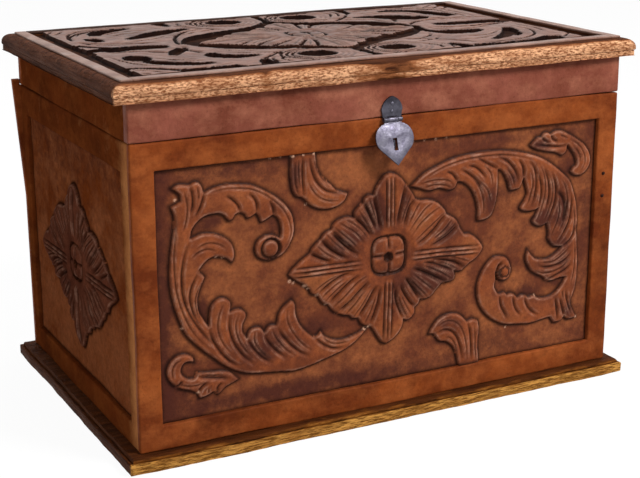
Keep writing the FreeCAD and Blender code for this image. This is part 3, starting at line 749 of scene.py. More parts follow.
        # The panel is darkened along its edges, in the corner under the frame: painted shade.
        rim = np.exp(-(np.clip(np.min(edges, axis=0) - 1.5, 0, None) / 2.2) ** 2)
        self.cut_dye_and_shade = np.maximum(self.cut_dye_and_shade, 0.9 * rim)
        for key, values in (("cut_dye_and_shade", self.cut_dye_and_shade), ("crest", self.crest), ("raised", self.raised), ("dye_and_painted_light", self.dye_and_painted_light),
                            ("chips", self.chips)):
            full = np.zeros(len(self.piece.data.vertices), np.float32)
            full[:self.count] = np.clip(values, -1, 1)
            self.piece.data.attributes.new(key, "FLOAT", "POINT").data.foreach_set("value", full)
        return self.piece


# The rosette's scalloped outline, from its left tip over its top and right tips, measured from its middle
ROSETTE_EDGE = [
    [(-99.5, 0), (-95.5, 5), (-87, 12), (-78.5, 17)], [(-78.5, 17), (-77, 20.5), (-73, 24.5), (-68, 28.5)],
    [(-68, 28.5), (-66, 31.5), (-62, 34.5), (-57, 36)], [(-57, 36), (-55.5, 40), (-51, 43.5), (-44, 45.5),
    (-38, 45), (-34.5, 44)], [(-34.5, 44), (-35, 48), (-31, 52.5), (-25.5, 56)], [(-25.5, 56), (-25, 59.5),
    (-20.5, 62.5), (-15, 62)], [(-15, 62), (-13.5, 67), (-9.5, 73), (-4.5, 78.5), (1, 80.5)], [(1, 80.5),
    (7, 79), (13.5, 74.5), (18.5, 68.5)], [(18.5, 68.5), (22, 64), (26, 58), (28.5, 53.5)], [(28.5, 53.5),
    (34, 51.5), (41, 51), (48, 49), (55, 44.5), (60.5, 38.5), (61.5, 35)], [(61.5, 35), (67, 32),
    (72.5, 28), (75.5, 23)], [(75.5, 23), (78.5, 17.5), (81.5, 13.5)], [(81.5, 13.5), (87, 12.5), (93, 9),
    (98.5, 3.5), (102.5, -2.5)], [(102.5, -2.5), (99, -8.5), (93.5, -13), (87, -16.5), (82.5, -20.5)],
    [(82.5, -20.5), (79.5, -22.5), (75, -22.5), (71, -21)], [(71, -21), (72, -25), (70.5, -29.5),
    (63, -31)], [(63, -31), (57, -32), (52, -36), (47, -41), (42, -43.5), (35, -43.5)], [(35, -43.5),
    (33, -47), (29.5, -50.5)], [(29.5, -50.5), (29, -55), (25.5, -59.5), (21, -61.5), (17.5, -60)],
    [(17.5, -60), (16.5, -66), (12.5, -72), (6, -77.5), (-1, -80.5)], [(-1, -80.5), (-6.5, -77.5),
    (-11, -70.5), (-14.5, -64.5), (-18, -60.5)], [(-18, -60.5), (-22.5, -59.5), (-27, -56.5), (-30, -51)],
    [(-30, -51), (-35, -50.5), (-39.5, -47), (-46, -45.5), (-52.5, -42.5)], [(-52.5, -42.5), (-57, -38.5),
    (-60.5, -33.5)], [(-60.5, -33.5), (-65, -31.5), (-68.5, -27.5), (-71, -22.5)], [(-71, -22.5),
    (-77, -20.5), (-79.5, -15.5)], [(-79.5, -15.5), (-84.5, -11), (-90, -7.5), (-95.5, -3.5), (-99.5, 0)],
]
# The deep cuts that part its lobes, and the fine lines on them
ROSETTE_CUTS = [
    [(-78.5, 17), (-70, 12), (-58, 6.5)], [(-68, 28.5), (-60, 19.5), (-50, 12), (-42, 8)], [(-57, 36),
    (-52, 28), (-44, 19.5), (-36, 13), (-30, 9)], [(-34.5, 44), (-27, 37), (-21, 30), (-17, 23)],
    [(-25.5, 56), (-20, 46), (-15, 36), (-12, 29)], [(-15, 62), (-13, 52), (-10, 40), (-8, 28)],
    [(18.5, 68.5), (15, 56), (11.5, 42), (9, 29)], [(28.5, 53.5), (22, 46), (19, 38), (16, 28)],
    [(61.5, 35), (54, 28), (46, 20), (36, 13), (28, 10)], [(75.5, 23), (64, 15), (52, 9), (42, 6)],
    [(82.5, -20.5), (72, -13), (60, -9), (46, -6)], [(71, -21), (60, -15.5), (48, -10.5), (36, -7.5)],
    [(63, -31), (50, -23.5), (38, -17), (24, -11)], [(35, -43.5), (28, -34), (22, -25), (17, -18)],
    [(29.5, -50.5), (23, -43), (17, -34), (12, -24)], [(17.5, -60), (13, -50), (9, -40), (7, -26)],
    [(-18, -60.5), (-14, -50), (-10, -38), (-8, -24)], [(-30, -51), (-24, -42), (-17, -31), (-12, -22)],
    [(-52.5, -42.5), (-40, -35), (-28, -25), (-20, -17)], [(-60.5, -33.5), (-50, -24), (-40, -16),
    (-30, -10)], [(-71, -22.5), (-60, -14), (-48, -8.5), (-36, -6)],
]
ROSETTE_LINES = [
    [(-73, 24.5), (-62, 14.5), (-50, 8)], [(-63, 33), (-53, 22.5), (-42, 13.5)], [(-60, 35), (-50, 25),
    (-39, 15)], [(-51, 42.5), (-44, 37.5), (-34, 30.5), (-25, 20)], [(-54, 38), (-47, 31), (-38, 23),
    (-30, 14)], [(-45, 44.5), (-36, 39), (-27, 31), (-20, 21)], [(-55, 35), (-48, 26.5), (-41, 20.5),
    (-33, 13)], [(-31, 51), (-25, 42), (-19, 32), (-15, 25)], [(-20.5, 61), (-16.5, 50), (-12.5, 38)],
    [(-24, 57), (-18, 44)], [(24, 60), (18, 46), (13, 32)], [(33, 50), (27, 42), (21, 31)], [(55, 43),
    (44, 38), (33, 30), (24, 20)], [(47, 48), (38, 43), (29, 34), (21, 24)], [(60, 37), (48, 29.5),
    (36, 20.5), (27, 14)], [(68, 30), (58, 20.5), (46, 13)], [(72, 26), (62, 17.5), (50, 11)], [(88, -14.5),
    (76, -9.5), (62, -5)], [(76, -21), (64, -13.5), (50, -8.5)], [(68, -28), (54, -18.5), (38, -10.5)],
    [(57, -31), (44, -22), (30, -13.5)], [(50, -37), (38, -27), (25, -16)], [(43, -42.5), (32, -31),
    (21, -19.5)], [(39, -43), (28, -31.5), (18.5, -19)], [(64, -24), (50, -17), (34, -9)], [(26, -57),
    (18.5, -45), (12.5, -32)], [(22, -60), (15.5, -48), (10, -34)], [(-24, -57), (-17.5, -44), (-12, -30)],
    [(-36, -49.5), (-27, -38), (-18, -25)], [(-44, -45.5), (-33, -35), (-22, -22.5)], [(-49, -43.5),
    (-36, -32), (-24, -20)], [(-57, -37), (-45, -27.5), (-32, -16.5), (-22, -11)], [(-65, -30),
    (-54, -20.5), (-41, -12)], [(-68, -26), (-57, -17), (-44, -10)], [(-76, -19), (-64, -11), (-50, -6.5)],
]
# The double ribs of its four leaves
ROSETTE_RIBS = [
    [(-97, 1), (-60, 0.5), (-27, -0.5)], [(22, 0.5), (60, -1), (97, -3.5)], [(1.5, 77), (1.5, 55),
    (1.5, 30)], [(0.5, -14), (0, -45), (-0.5, -77)],
]


def rounded_square(centre, radius, squash=1.0):
    """The outline of a flower of four petals."""
    angles = np.arange(0, 2 * math.pi, 1.4 / radius)
    reach = radius / (np.abs(np.cos(angles)) ** 3.4 + np.abs(np.sin(angles)) ** 3.4) ** (1 / 3.4)
    return np.stack([centre[0] + reach * np.cos(angles), centre[1] + squash * reach * np.sin(angles)], 1)


def carve_rosette(panel, centre, scale, top, button):
    """A scalloped diamond with double ribs and fanned lines, round a four-petalled flower with a hole."""
    panel.leaf(outline_of(placed(ROSETTE_EDGE, centre, scale)), top, placed(ROSETTE_CUTS, centre, scale),
               placed(ROSETTE_LINES, centre, scale), edge=3.0, crown=1.2, crown_reach=15.0)
    # The creases between the lobes are darkened a little: painted shade.
    for crease in placed(ROSETTE_CUTS, centre, scale):
        panel.groove(smooth_line(crease), 6.0, 1.7, 0.4)
    for spine in placed(ROSETTE_RIBS, centre, scale):
        for offset in (-4.0, 0.0, 4.0):
            panel.groove(beside(spine, (offset, offset)), 2.0, 1.4, 1.0)
        for offset in (-2.0, 2.0):
            panel.ridge(beside(spine, (offset, offset)), 1.0, 1.1, 1.0)
    middle = (centre[0] + 0.2, centre[1] + 4.8 * scale[1])
    panel.dish(middle, 1.68 * button, top + 0.2)
    panel.hollow(rounded_square(middle, 1.1 * button), top - 2.0, 1.3, 1.0)
    petals = []
    for turn in range(4):
        away = np.array([math.cos(turn * math.pi / 2), math.sin(turn * math.pi / 2)])
        petals.append([np.array(middle) + away * button * share for share in (0.3, 0.65, 1.02)])
    panel.leaf(rounded_square(middle, button), top + 0.5, petals, edge=3.6, crown=0.9, crown_reach=8.0)
    panel.hollow(ring((middle[0] - 1.0, middle[1] - 1.6), 0.27 * button), top - 2.2, 1.0, 1.0)


def closed_ring(centre, radius, squash=1.0):
    loop = ring(centre, radius, squash)
    return np.vstack([loop, loop[:1]])


# The big scroll of the front, seen at the left of the rosette
SCROLL_EDGE = [
    [(-209, 241.5), (-203, 244.5), (-197, 244), (-192.5, 243)], [(-192.5, 243), (-188, 245), (-183.5, 244),
    (-181, 240), (-179.5, 235)], [(-179.5, 235), (-172, 238), (-160, 239.5), (-148, 238.5), (-137, 236.5),
    (-128, 232.5), (-119.5, 227.5), (-111, 221.5), (-103.5, 214), (-98.5, 206), (-96.5, 197), (-97, 187.5),
    (-100.5, 180), (-105.5, 173), (-112.5, 169), (-119.5, 167), (-126.5, 168.5), (-132.5, 173),
    (-134.5, 180), (-131.5, 187), (-124.5, 190.5)], [(-124.5, 190.5), (-117, 190), (-110.5, 186.5)],
    [(-110.5, 186.5), (-109.5, 192), (-110.5, 199), (-113, 204.5), (-117, 207)], [(-117, 207), (-121, 205),
    (-125, 203), (-128.5, 202.5), (-130, 207), (-132.5, 210.5)], [(-132.5, 210.5), (-136.5, 208.5),
    (-141, 207.5), (-143, 211), (-146.5, 213)], [(-146.5, 213), (-151, 212.5), (-154, 209), (-157, 207),
    (-160, 209.5), (-162, 212.5)], [(-162, 212.5), (-167, 215), (-173, 215), (-178.5, 214.5), (-184, 212),
    (-188.5, 208), (-191.5, 203.5), (-193, 197)], [(-193, 197), (-188, 198.5), (-182.5, 200), (-173.5, 199),
    (-166.5, 196.5), (-159.5, 192), (-155, 186.5), (-153, 179), (-154, 173.5), (-156, 170)], [(-156, 170),
    (-159.5, 173.5), (-164, 176), (-171, 177.5), (-176.5, 176.5), (-181.5, 173), (-186.5, 167)],
    [(-186.5, 167), (-183, 164.5), (-180.5, 161.5)], [(-180.5, 161.5), (-183, 156), (-186, 149),
    (-188, 141), (-187, 132), (-183.5, 125), (-179, 117.5)], [(-179, 117.5), (-178.5, 126), (-177, 133.5),
    (-173, 138.5), (-166.5, 141), (-160.5, 138.5), (-157.5, 134), (-158.5, 127)], [(-158.5, 127),
    (-153.5, 128.5), (-148, 127.5), (-144, 124), (-143.5, 119.5), (-146.5, 114), (-147, 107.5),
    (-143.5, 101)], [(-143.5, 101), (-142.5, 104.5), (-139.5, 108), (-133.5, 109), (-129, 107),
    (-126.5, 103)], [(-126.5, 103), (-123.5, 107), (-119, 108.5), (-115, 107.5)], [(-115, 107.5),
    (-114, 112), (-113, 116.5), (-109.5, 122), (-104.5, 126), (-99.5, 128.5)], [(-99.5, 128.5),
    (-96.5, 124), (-96, 117.5), (-94.5, 110.5), (-91, 103.5), (-85, 96), (-78, 90)], [(-78, 90),
    (-74.5, 91), (-71, 94.5)], [(-71, 94.5), (-67.5, 89.5), (-62, 86), (-55, 83.5), (-47, 83), (-38, 85),
    (-30, 87.5), (-22.5, 90.5)], [(-22.5, 90.5), (-31, 82), (-39.5, 76), (-48, 72), (-56.5, 69.5),
    (-68, 66.5), (-78, 64), (-88, 62), (-99.5, 61), (-110, 62.5), (-122, 64), (-133, 65.5), (-146, 68),
    (-156, 72.5), (-166, 79), (-175, 87), (-183, 94), (-190, 101), (-197, 108.5), (-202, 116.5),
    (-206, 127.5), (-209.5, 139), (-212, 151), (-213, 163), (-212.5, 175), (-211, 187), (-209, 199),
    (-207, 211), (-207.5, 219), (-210, 226)], [(-210, 226), (-205.5, 228), (-201, 230)], [(-201, 230),
    (-202, 236), (-209, 241.5)],
]
SCROLL_CUTS = [
    [(-192.5, 243), (-190.5, 235), (-190.5, 226), (-193, 217)], [(-179.5, 235.5), (-181.5, 229),
    (-184.5, 222), (-188.5, 215)], [(-161.5, 230.5), (-155, 226), (-149.5, 220), (-147, 213)], [(-140, 230),
    (-134.5, 224.5), (-132, 218), (-132, 210.5)], [(-120.5, 221.5), (-117, 214), (-116.5, 207)],
    [(-193, 197), (-198.5, 185), (-201.5, 172), (-202.5, 160), (-201.5, 147), (-198, 135), (-192.5, 124),
    (-186, 113.5), (-178.5, 104), (-170, 94.5)], [(-186.5, 167), (-192, 158), (-195, 149), (-195, 140),
    (-192, 129.5), (-187.5, 120)], [(-179, 117.5), (-177.5, 109), (-173.5, 100), (-168, 91), (-160.5, 82.5),
    (-151, 75.5)], [(-158.5, 127), (-160, 118), (-159.5, 109), (-156.5, 99.5), (-151.5, 90.5), (-145, 82.5),
    (-136.5, 75.5)], [(-143.5, 101), (-140.5, 94.5), (-135, 86.5), (-127.5, 79), (-118.5, 73)],
    [(-126.5, 103), (-125, 96.5), (-120.5, 89.5), (-114, 82.5), (-106, 76)], [(-115, 107.5), (-111.5, 100),
    (-106.5, 93), (-100, 85.5), (-92, 78.5), (-82, 72.5)], [(-78, 90), (-72.5, 84.5), (-66, 79.5),
    (-58, 76), (-48.5, 75.5)],
]
SCROLL_LINES = [
    [(-198, 239.5), (-196, 231), (-195.5, 223), (-197, 213), (-200, 203)], [(-186, 241), (-185, 235),
    (-185.5, 229)], [(-176, 234.5), (-162, 236), (-148, 235), (-136, 232.5), (-125, 227), (-115, 219.5),
    (-107, 211), (-101.5, 200), (-100, 190), (-103, 181.5), (-108, 175.5)], [(-204.5, 222), (-205.5, 210),
    (-207, 196), (-208.5, 182), (-208.5, 168), (-207.5, 154), (-204.5, 140), (-200, 127), (-194.5, 116),
    (-187, 105.5), (-177, 95)], [(-188.5, 187.5), (-182, 190.5), (-175, 191), (-167.5, 188.5),
    (-160.5, 183.5)], [(-193, 180), (-186.5, 184.5), (-178.5, 186), (-170, 183.5)], [(-183.5, 158),
    (-188, 150.5), (-190.5, 142), (-189.5, 132.5), (-186, 123)], [(-166, 135), (-169.5, 126), (-171, 116.5),
    (-169.5, 107), (-165, 97.5), (-158.5, 89)], [(-150.5, 124.5), (-154, 116), (-153.5, 107), (-150.5, 98),
    (-145, 89.5), (-138, 81.5)], [(-136, 106), (-137, 98.5), (-134, 91), (-128.5, 84), (-121, 77)],
    [(-119.5, 105.5), (-117, 98), (-112, 90.5), (-105.5, 83), (-97, 76)], [(-104.5, 122), (-105, 112),
    (-101.5, 102), (-95.5, 92.5), (-88, 84), (-79, 77)], [(-70.5, 92), (-67, 86), (-60.5, 81.5), (-52, 80),
    (-42, 81)],
]
SCROLL_BALL = (-119.6, 178)

# The leaf that hangs from the top rail, and the one that stands on the bottom rail
HANGING_EDGE = [
    [(-99.5, 260), (-100, 250), (-100.5, 242), (-99.5, 233), (-98, 225.5), (-94, 220.5), (-90, 219.5)],
    [(-90, 219.5), (-86.5, 217), (-82.5, 212.5), (-76.5, 208.5), (-69.5, 206), (-61, 205.5), (-52.5, 207.5),
    (-46.5, 212), (-44, 218)], [(-44, 218), (-50, 220), (-56, 223), (-60.5, 228), (-66.5, 233),
    (-71.5, 239), (-74.5, 247), (-75.5, 260)], [(-75.5, 260), (-99.5, 260)],
]
HANGING_CUTS = [
    [(-88.5, 256), (-89, 244), (-88.5, 232), (-87.5, 219.5)], [(-82.5, 255), (-79.5, 241), (-74.5, 231),
    (-67, 223.5), (-58, 220), (-49, 218.5)],
]
HANGING_LINES = [
    [(-96, 252), (-96, 238), (-94.5, 228), (-92.5, 222)], [(-92.5, 254), (-92.5, 240), (-91, 228)],
    [(-84.5, 236), (-80, 226), (-73, 218), (-63, 213.5), (-53, 212.5)], [(-78.5, 254), (-75.5, 244),
    (-70.5, 235), (-63.5, 228)],
]
STANDING_EDGE = [
    [(41, 71.5), (44.5, 78), (51, 85), (60, 88.5), (70, 88), (77, 84.5), (83, 78)], [(83, 78), (89, 79.5),
    (95.5, 77)], [(95.5, 77), (97, 68), (96, 54), (98, 32)], [(98, 32), (74.5, 32)], [(74.5, 32),
    (72.5, 44), (68.5, 54), (61.5, 60.5), (53, 63), (47, 70.5), (41, 71.5)],
]
STANDING_CUTS = [
    [(48, 71), (57, 73.5), (65, 71.5), (71, 65.5), (75.5, 55), (78.5, 40)], [(83, 78), (86, 68), (87.5, 56),
    (88.5, 38)],
]
STANDING_LINES = [
    [(50, 78), (58, 82), (67, 81), (74, 76), (79, 67), (82, 55), (83.5, 40)], [(90.5, 74), (92, 62),
    (92.5, 50), (94, 36)], [(58, 66.5), (65, 64.5), (70, 57.5), (73, 48)],
]
# The curled leaflet of the lower left corner
CORNER_EDGE = [
    [(-217, 75), (-218.5, 82), (-216, 89), (-211, 94), (-205, 96), (-198.5, 95), (-193.5, 91),
    (-192.5, 86)], [(-192.5, 86), (-196.5, 87.5), (-201, 87.5), (-204, 84.5), (-205, 80), (-203, 76),
    (-199, 73), (-194, 72)], [(-194, 72), (-191.5, 74), (-190.5, 77)], [(-190.5, 77), (-184, 76),
    (-176, 75), (-168, 74.5), (-160, 72), (-155, 67.5), (-151, 63.5)], [(-151, 63.5), (-157.5, 61),
    (-164, 58.5), (-168.5, 55), (-171.5, 52.5)], [(-171.5, 52.5), (-175.5, 56), (-179.5, 54.5),
    (-184.5, 53), (-189, 53), (-190.5, 57.5)], [(-190.5, 57.5), (-197, 61), (-206, 64.5), (-212.5, 69),
    (-217, 75)],
]
CORNER_CUTS = [
    [(-190.5, 77), (-188, 72.5), (-180, 70.5), (-170, 68.5), (-160, 66)], [(-190.5, 57.5), (-187, 63),
    (-181.5, 66.5)], [(-171.5, 53.5), (-172, 59.5), (-168, 64)], [(-204.5, 72), (-207.5, 68.5), (-211, 67)],
]
CORNER_LINES = [
    [(-212.5, 74), (-213.5, 82), (-210.5, 88.5), (-204, 91.5)], [(-208, 70), (-200, 66.5), (-192, 65.5),
    (-184, 67)], [(-186, 74), (-176, 72), (-166, 70.5)], [(-181, 56), (-180.5, 61)],
]

# The scroll at the right of the rosette, which was cut by hand to answer the left one, and its coiled end
RIGHT_EDGE = [
    [(19, 216), (33, 226.5), (47, 232), (61.5, 236.5), (78.5, 239), (100, 239.5), (118.5, 238.5),
    (137, 235), (154.5, 230), (170, 222), (183, 212.5), (194.5, 202), (200, 190.5), (204.5, 176.5),
    (206.5, 162), (206.5, 148), (207.5, 134), (208.5, 120), (208.5, 106), (207.5, 94), (205.5, 86)],
    [(205.5, 86), (203.5, 80.5), (204.5, 73.5), (208, 66.5), (211, 61)], [(211, 61), (205, 60), (199, 60.5),
    (195.5, 64)], [(195.5, 64), (192, 60.5), (187, 59.5), (182.5, 60)], [(182.5, 60), (180.5, 63),
    (178.5, 66)], [(178.5, 66), (168.5, 65), (155.5, 63.5), (141.5, 65), (125.5, 67.5), (113, 73.5),
    (103, 82), (95.5, 93.5), (93, 107.5), (95.5, 119), (101.5, 129), (110, 136.5), (118.5, 137),
    (126.5, 133.5), (130.5, 126.5), (131.5, 119), (128.5, 113.5), (123, 111.5), (117, 114), (115.5, 119)],
    [(115.5, 119), (114, 113), (113.5, 107), (117, 100.5)], [(117, 100.5), (120, 99.5), (124, 100.5),
    (127.5, 97.5)], [(127.5, 97.5), (131, 98.5), (136, 96.5), (140, 92.5)], [(140, 92.5), (144, 94.5),
    (149, 93.5), (152, 91)], [(152, 91), (158, 92), (164.5, 88.5), (174.5, 87.5), (183, 90.5), (190, 97.5),
    (194.5, 104.5)], [(194.5, 104.5), (187, 104.5), (178.5, 103), (171, 105)], [(171, 105), (168, 108.5),
    (161.5, 112), (154.5, 116.5), (149.5, 123.5), (147, 130.5), (149, 139.5)], [(149, 139.5),
    (154.5, 132.5), (161.5, 128), (173, 127), (183, 131.5), (188.5, 136)], [(188.5, 136), (180, 137.5),
    (175, 141.5), (171.5, 147)], [(171.5, 147), (172.5, 152), (171.5, 157), (170, 161.5)], [(170, 161.5),
    (163, 159.5), (156.5, 162), (153, 166.5), (156.5, 171), (159.5, 177.5)], [(159.5, 177.5), (154.5, 176),
    (145.5, 176.5), (138.5, 180.5), (142.5, 186.5), (146, 194), (144, 202), (141.5, 209)], [(141.5, 209),
    (139.5, 203.5), (137, 200), (130, 199), (126, 200), (123, 209), (118.5, 217.5), (113, 221)],
    [(113, 221), (113.5, 208), (112.5, 195), (110, 185), (105.5, 177), (98.5, 174.5), (91.5, 175.5),
    (91.5, 185), (88.5, 196.5), (83, 206.5), (75.5, 212.5), (69, 214.5)], [(69, 214.5), (66, 209),
    (60, 207.5), (50, 210.5), (38.5, 209.5), (28, 213), (19, 216)],
]
RIGHT_CUTS = [
    [(55, 226), (62, 223), (66.5, 218), (69, 214.5)], [(70, 226.5), (80, 221), (90, 212.5), (97, 201)],
    [(78, 229), (86.5, 226.5), (94, 221), (100, 214)], [(88, 235.5), (101.5, 227.5), (108, 224),
    (113, 221)], [(111.5, 233.5), (123, 227.5), (131.5, 217.5), (135.5, 206)], [(134, 229.5), (139.5, 221),
    (141.5, 209)], [(145.5, 226.5), (153, 217.5), (155.5, 205), (154.5, 190.5), (150, 180.5)],
    [(156.5, 214), (161, 202), (162, 190), (159.5, 177.5)], [(163, 217.5), (169, 205), (171, 190.5),
    (168, 174)], [(172, 213), (178, 198), (178, 182), (170, 161.5)], [(196, 190), (198, 177), (196, 162),
    (190, 150), (182, 140.5)], [(204, 160), (202.5, 149), (196.5, 141), (188.5, 136)], [(200.5, 131),
    (193, 123), (183, 119), (170, 118.5), (159, 122.5)], [(200.5, 119), (193, 112.5), (182, 108),
    (171, 105)], [(118.5, 98), (120, 88), (124, 80), (128, 73)], [(134, 96), (135.5, 86), (139, 79),
    (144, 74)], [(147.5, 93), (150, 84), (155, 77), (164, 71)], [(183, 86), (186, 75), (187, 62)],
    [(189, 84), (192.5, 73), (195.5, 64)], [(195, 92), (197.5, 82), (201, 73), (205, 65)], [(122, 131),
    (117, 128), (115, 121.5), (116, 115.5), (120.5, 112)],
]
RIGHT_LINES = [
    [(31, 221), (46, 228), (62, 232.5), (78, 235), (98, 235.5), (118, 234.5), (136, 231), (152, 226)],
    [(28, 217.5), (44, 219.5), (58, 217.5), (65, 211.5)], [(31, 213.5), (44, 215), (56, 213), (64, 208.5)],
    [(84, 217), (92.5, 206), (97, 193), (97, 181)], [(92, 213), (101, 203), (105, 191)], [(96, 228),
    (104, 219), (107, 207)], [(122, 222), (128, 213), (131, 203)], [(149, 216), (151.5, 204), (149, 190),
    (145, 181)], [(158, 222), (164.5, 208), (166, 194), (163, 178), (158, 166)], [(168, 214), (174, 200),
    (174, 184), (167, 166)], [(184, 205), (190, 194), (192.5, 180), (191, 166), (184, 152)], [(182, 186),
    (183.5, 172), (180.5, 160), (175, 149)], [(203.5, 142), (204.5, 126), (203.5, 110), (200.5, 96)],
    [(200.5, 176), (202.5, 160), (200, 148)], [(199, 125), (190, 117), (180, 113.5), (168, 113),
    (157, 117)], [(197, 134.5), (186, 126.5), (176, 123), (163, 124.5)], [(191, 92), (192.5, 84)],
    [(184.5, 80), (185, 70)], [(201, 90), (202, 79), (206, 69)],
]
RIGHT_BALL = (123.2, 120.8)
# The curled leaflet of the upper right corner
RIGHT_CORNER_EDGE = [
    [(147, 239.5), (151, 243.5), (155.5, 246.5), (160, 247)], [(160, 247), (162.5, 250), (167, 250.5),
    (170.5, 248.5)], [(170.5, 248.5), (176, 251), (184, 250.5), (192, 246.5), (200, 242), (210, 235),
    (216.5, 226.5), (218.5, 217), (214.5, 209), (207.5, 204.5), (199.5, 205.5), (194.5, 209.5)],
    [(194.5, 209.5), (198, 213.5), (201.5, 216), (200.5, 221.5), (196.5, 228.5), (190.5, 235.5)],
    [(190.5, 235.5), (189.5, 230), (184.5, 226)], [(184.5, 226), (176, 230), (168, 231.5), (160, 233.5),
    (152.5, 236), (147, 239.5)],
]
RIGHT_CORNER_CUTS = [
    [(151, 240.5), (162, 238.5), (172, 236.5), (182, 235.5), (190.5, 235.5)], [(160, 247), (163, 243.5),
    (168, 240.5)], [(170.5, 248.5), (173, 243.5), (179, 240)],
]
RIGHT_CORNER_LINES = [
    [(192, 242), (203, 235), (209.5, 226), (211, 217), (207, 210)], [(180, 247), (190, 243)], [(198, 234),
    (204, 226), (206, 218)],
]

# Patches of dye and wear: middle, half sizes and how much darker, paler below zero. Many dark patches of the ground
# are painted shade, under and beside the leaves and round the balls, and the last one is painted shade in the hasp's
# slot.
FRONT_GROUND_DYE_AND_SHADE = [
    (-219, 150, 10, 130, 0.9), (0, 40, 240, 12, 0.55), (-150, 252, 85, 10, 0.6), (218, 150, 8, 120, 0.5),
    (-176, 207, 22, 8, 0.95), (-183, 130, 7, 16, 0.95), (-124, 105, 20, 9, 0.9), (-115, 196, 11, 12, 0.8),
    (-152, 128, 8, 4, 0.8), (-74, 98, 26, 9, 0.9), (-98, 132, 8, 6, 0.6), (-205, 70, 26, 30, 0.45),
    (-120, 46, 120, 9, 0.55), (-60, 246, 16, 14, -0.3), (-22, 238, 40, 15, -0.85), (-60, 180, 40, 22, -0.6),
    (-150, 160, 26, 40, -0.5), (62, 202, 26, 8, 0.6), (150, 97, 24, 8, 0.8), (185, 100, 12, 6, 0.6),
    (152, 127, 5, 10, 0.9), (120, 196, 16, 10, 0.5), (118, 155, 16, 22, -0.5), (58, 108, 34, 14, -0.5),
    (180, 55, 40, 14, -0.2), (110, 60, 50, 14, 0.3), (60, 64, 14, 8, 0.7), (100, 250, 90, 8, 0.4),
    (194, 213, 8, 8, 0.7), (190, 235, 30, 20, 0.35), (20, 60, 40, 16, -0.3), (2, 255, 4, 6, 1.2),
]
FRONT_RELIEF_DYE = [
    (-3.5, 151, 40, 34, 0.4), (-60, 168, 18, 14, 0.7), (-14, 200, 7, 22, 0.9), (14, 204, 6, 22, 0.8),
    (60, 170, 16, 13, 0.7), (62, 122, 20, 12, 0.8), (2, 100, 6, 26, 0.7), (30, 182, 13, 11, -0.9),
    (-42, 178, 12, 9, 0.8), (-20, 198, 14, 16, 0.8), (40, 129, 30, 15, 0.9), (-78, 142, 22, 11, -0.9),
    (-40, 116, 20, 12, -0.7), (84, 152, 14, 10, -0.9), (0, 212, 10, 10, -0.5), (2, 84, 14, 12, -0.6),
    (-2, 86, 12, 16, -0.4), (-125, 92, 34, 16, 0.55), (-96, 240, 6, 24, 0.9), (-72, 214, 26, 10, -0.5),
    (-200, 150, 14, 60, -0.45), (-150, 228, 50, 10, -0.35), (-60, 80, 34, 9, -0.4),
    (-188, 62, 26, 14, 0.35), (60, 78, 20, 10, 0.6), (-168, 120, 10, 24, -0.3), (105, 192, 8, 16, 0.9),
    (165, 168, 14, 10, 0.9), (188, 172, 8, 22, 0.9), (182, 140, 14, 8, 0.8), (160, 240, 14, 6, 0.9),
    (200, 70, 10, 10, 0.7), (128, 210, 8, 12, 0.7), (125, 76, 34, 12, -0.6), (103, 98, 10, 18, -0.6),
    (204, 190, 8, 22, -0.6), (150, 215, 14, 12, -0.4), (190, 120, 14, 14, 0.4), (-130, 85, 60, 20, 0.3),
    (150, 130, 60, 90, 0.25),
]

# Knocked places that show paler hide: middle and reach
FRONT_CHIPS = [
    (-101, 145, 1.5), (-97.5, 143, 1.2), (-87, 139, 1.7), (-84, 136, 1), (-75, 129, 1.5), (-66, 118.5, 1),
    (-26, 88.5, 1.8), (-22, 90.5, 1.4), (-84.5, 212.5, 1.2), (-205, 231, 1.3), (-203, 119, 1.1),
    (-170, 177.4, 1), (-164, 176, 1), (-133, 67, 1.1), (-190, 58.5, 1.1), (128, 64, 1.1), (160, 91, 1),
    (-118, 257, 1.2), (-108, 257.4, 1), (-98, 257, 1.4), (-88, 257.2, 1), (-78, 257, 1.2), (22, 256.6, 1.2),
    (34, 256.4, 1), (46, 256.6, 1.4), (57, 256.4, 1), (211, 61, 1.3), (196, 64, 1.1),
]


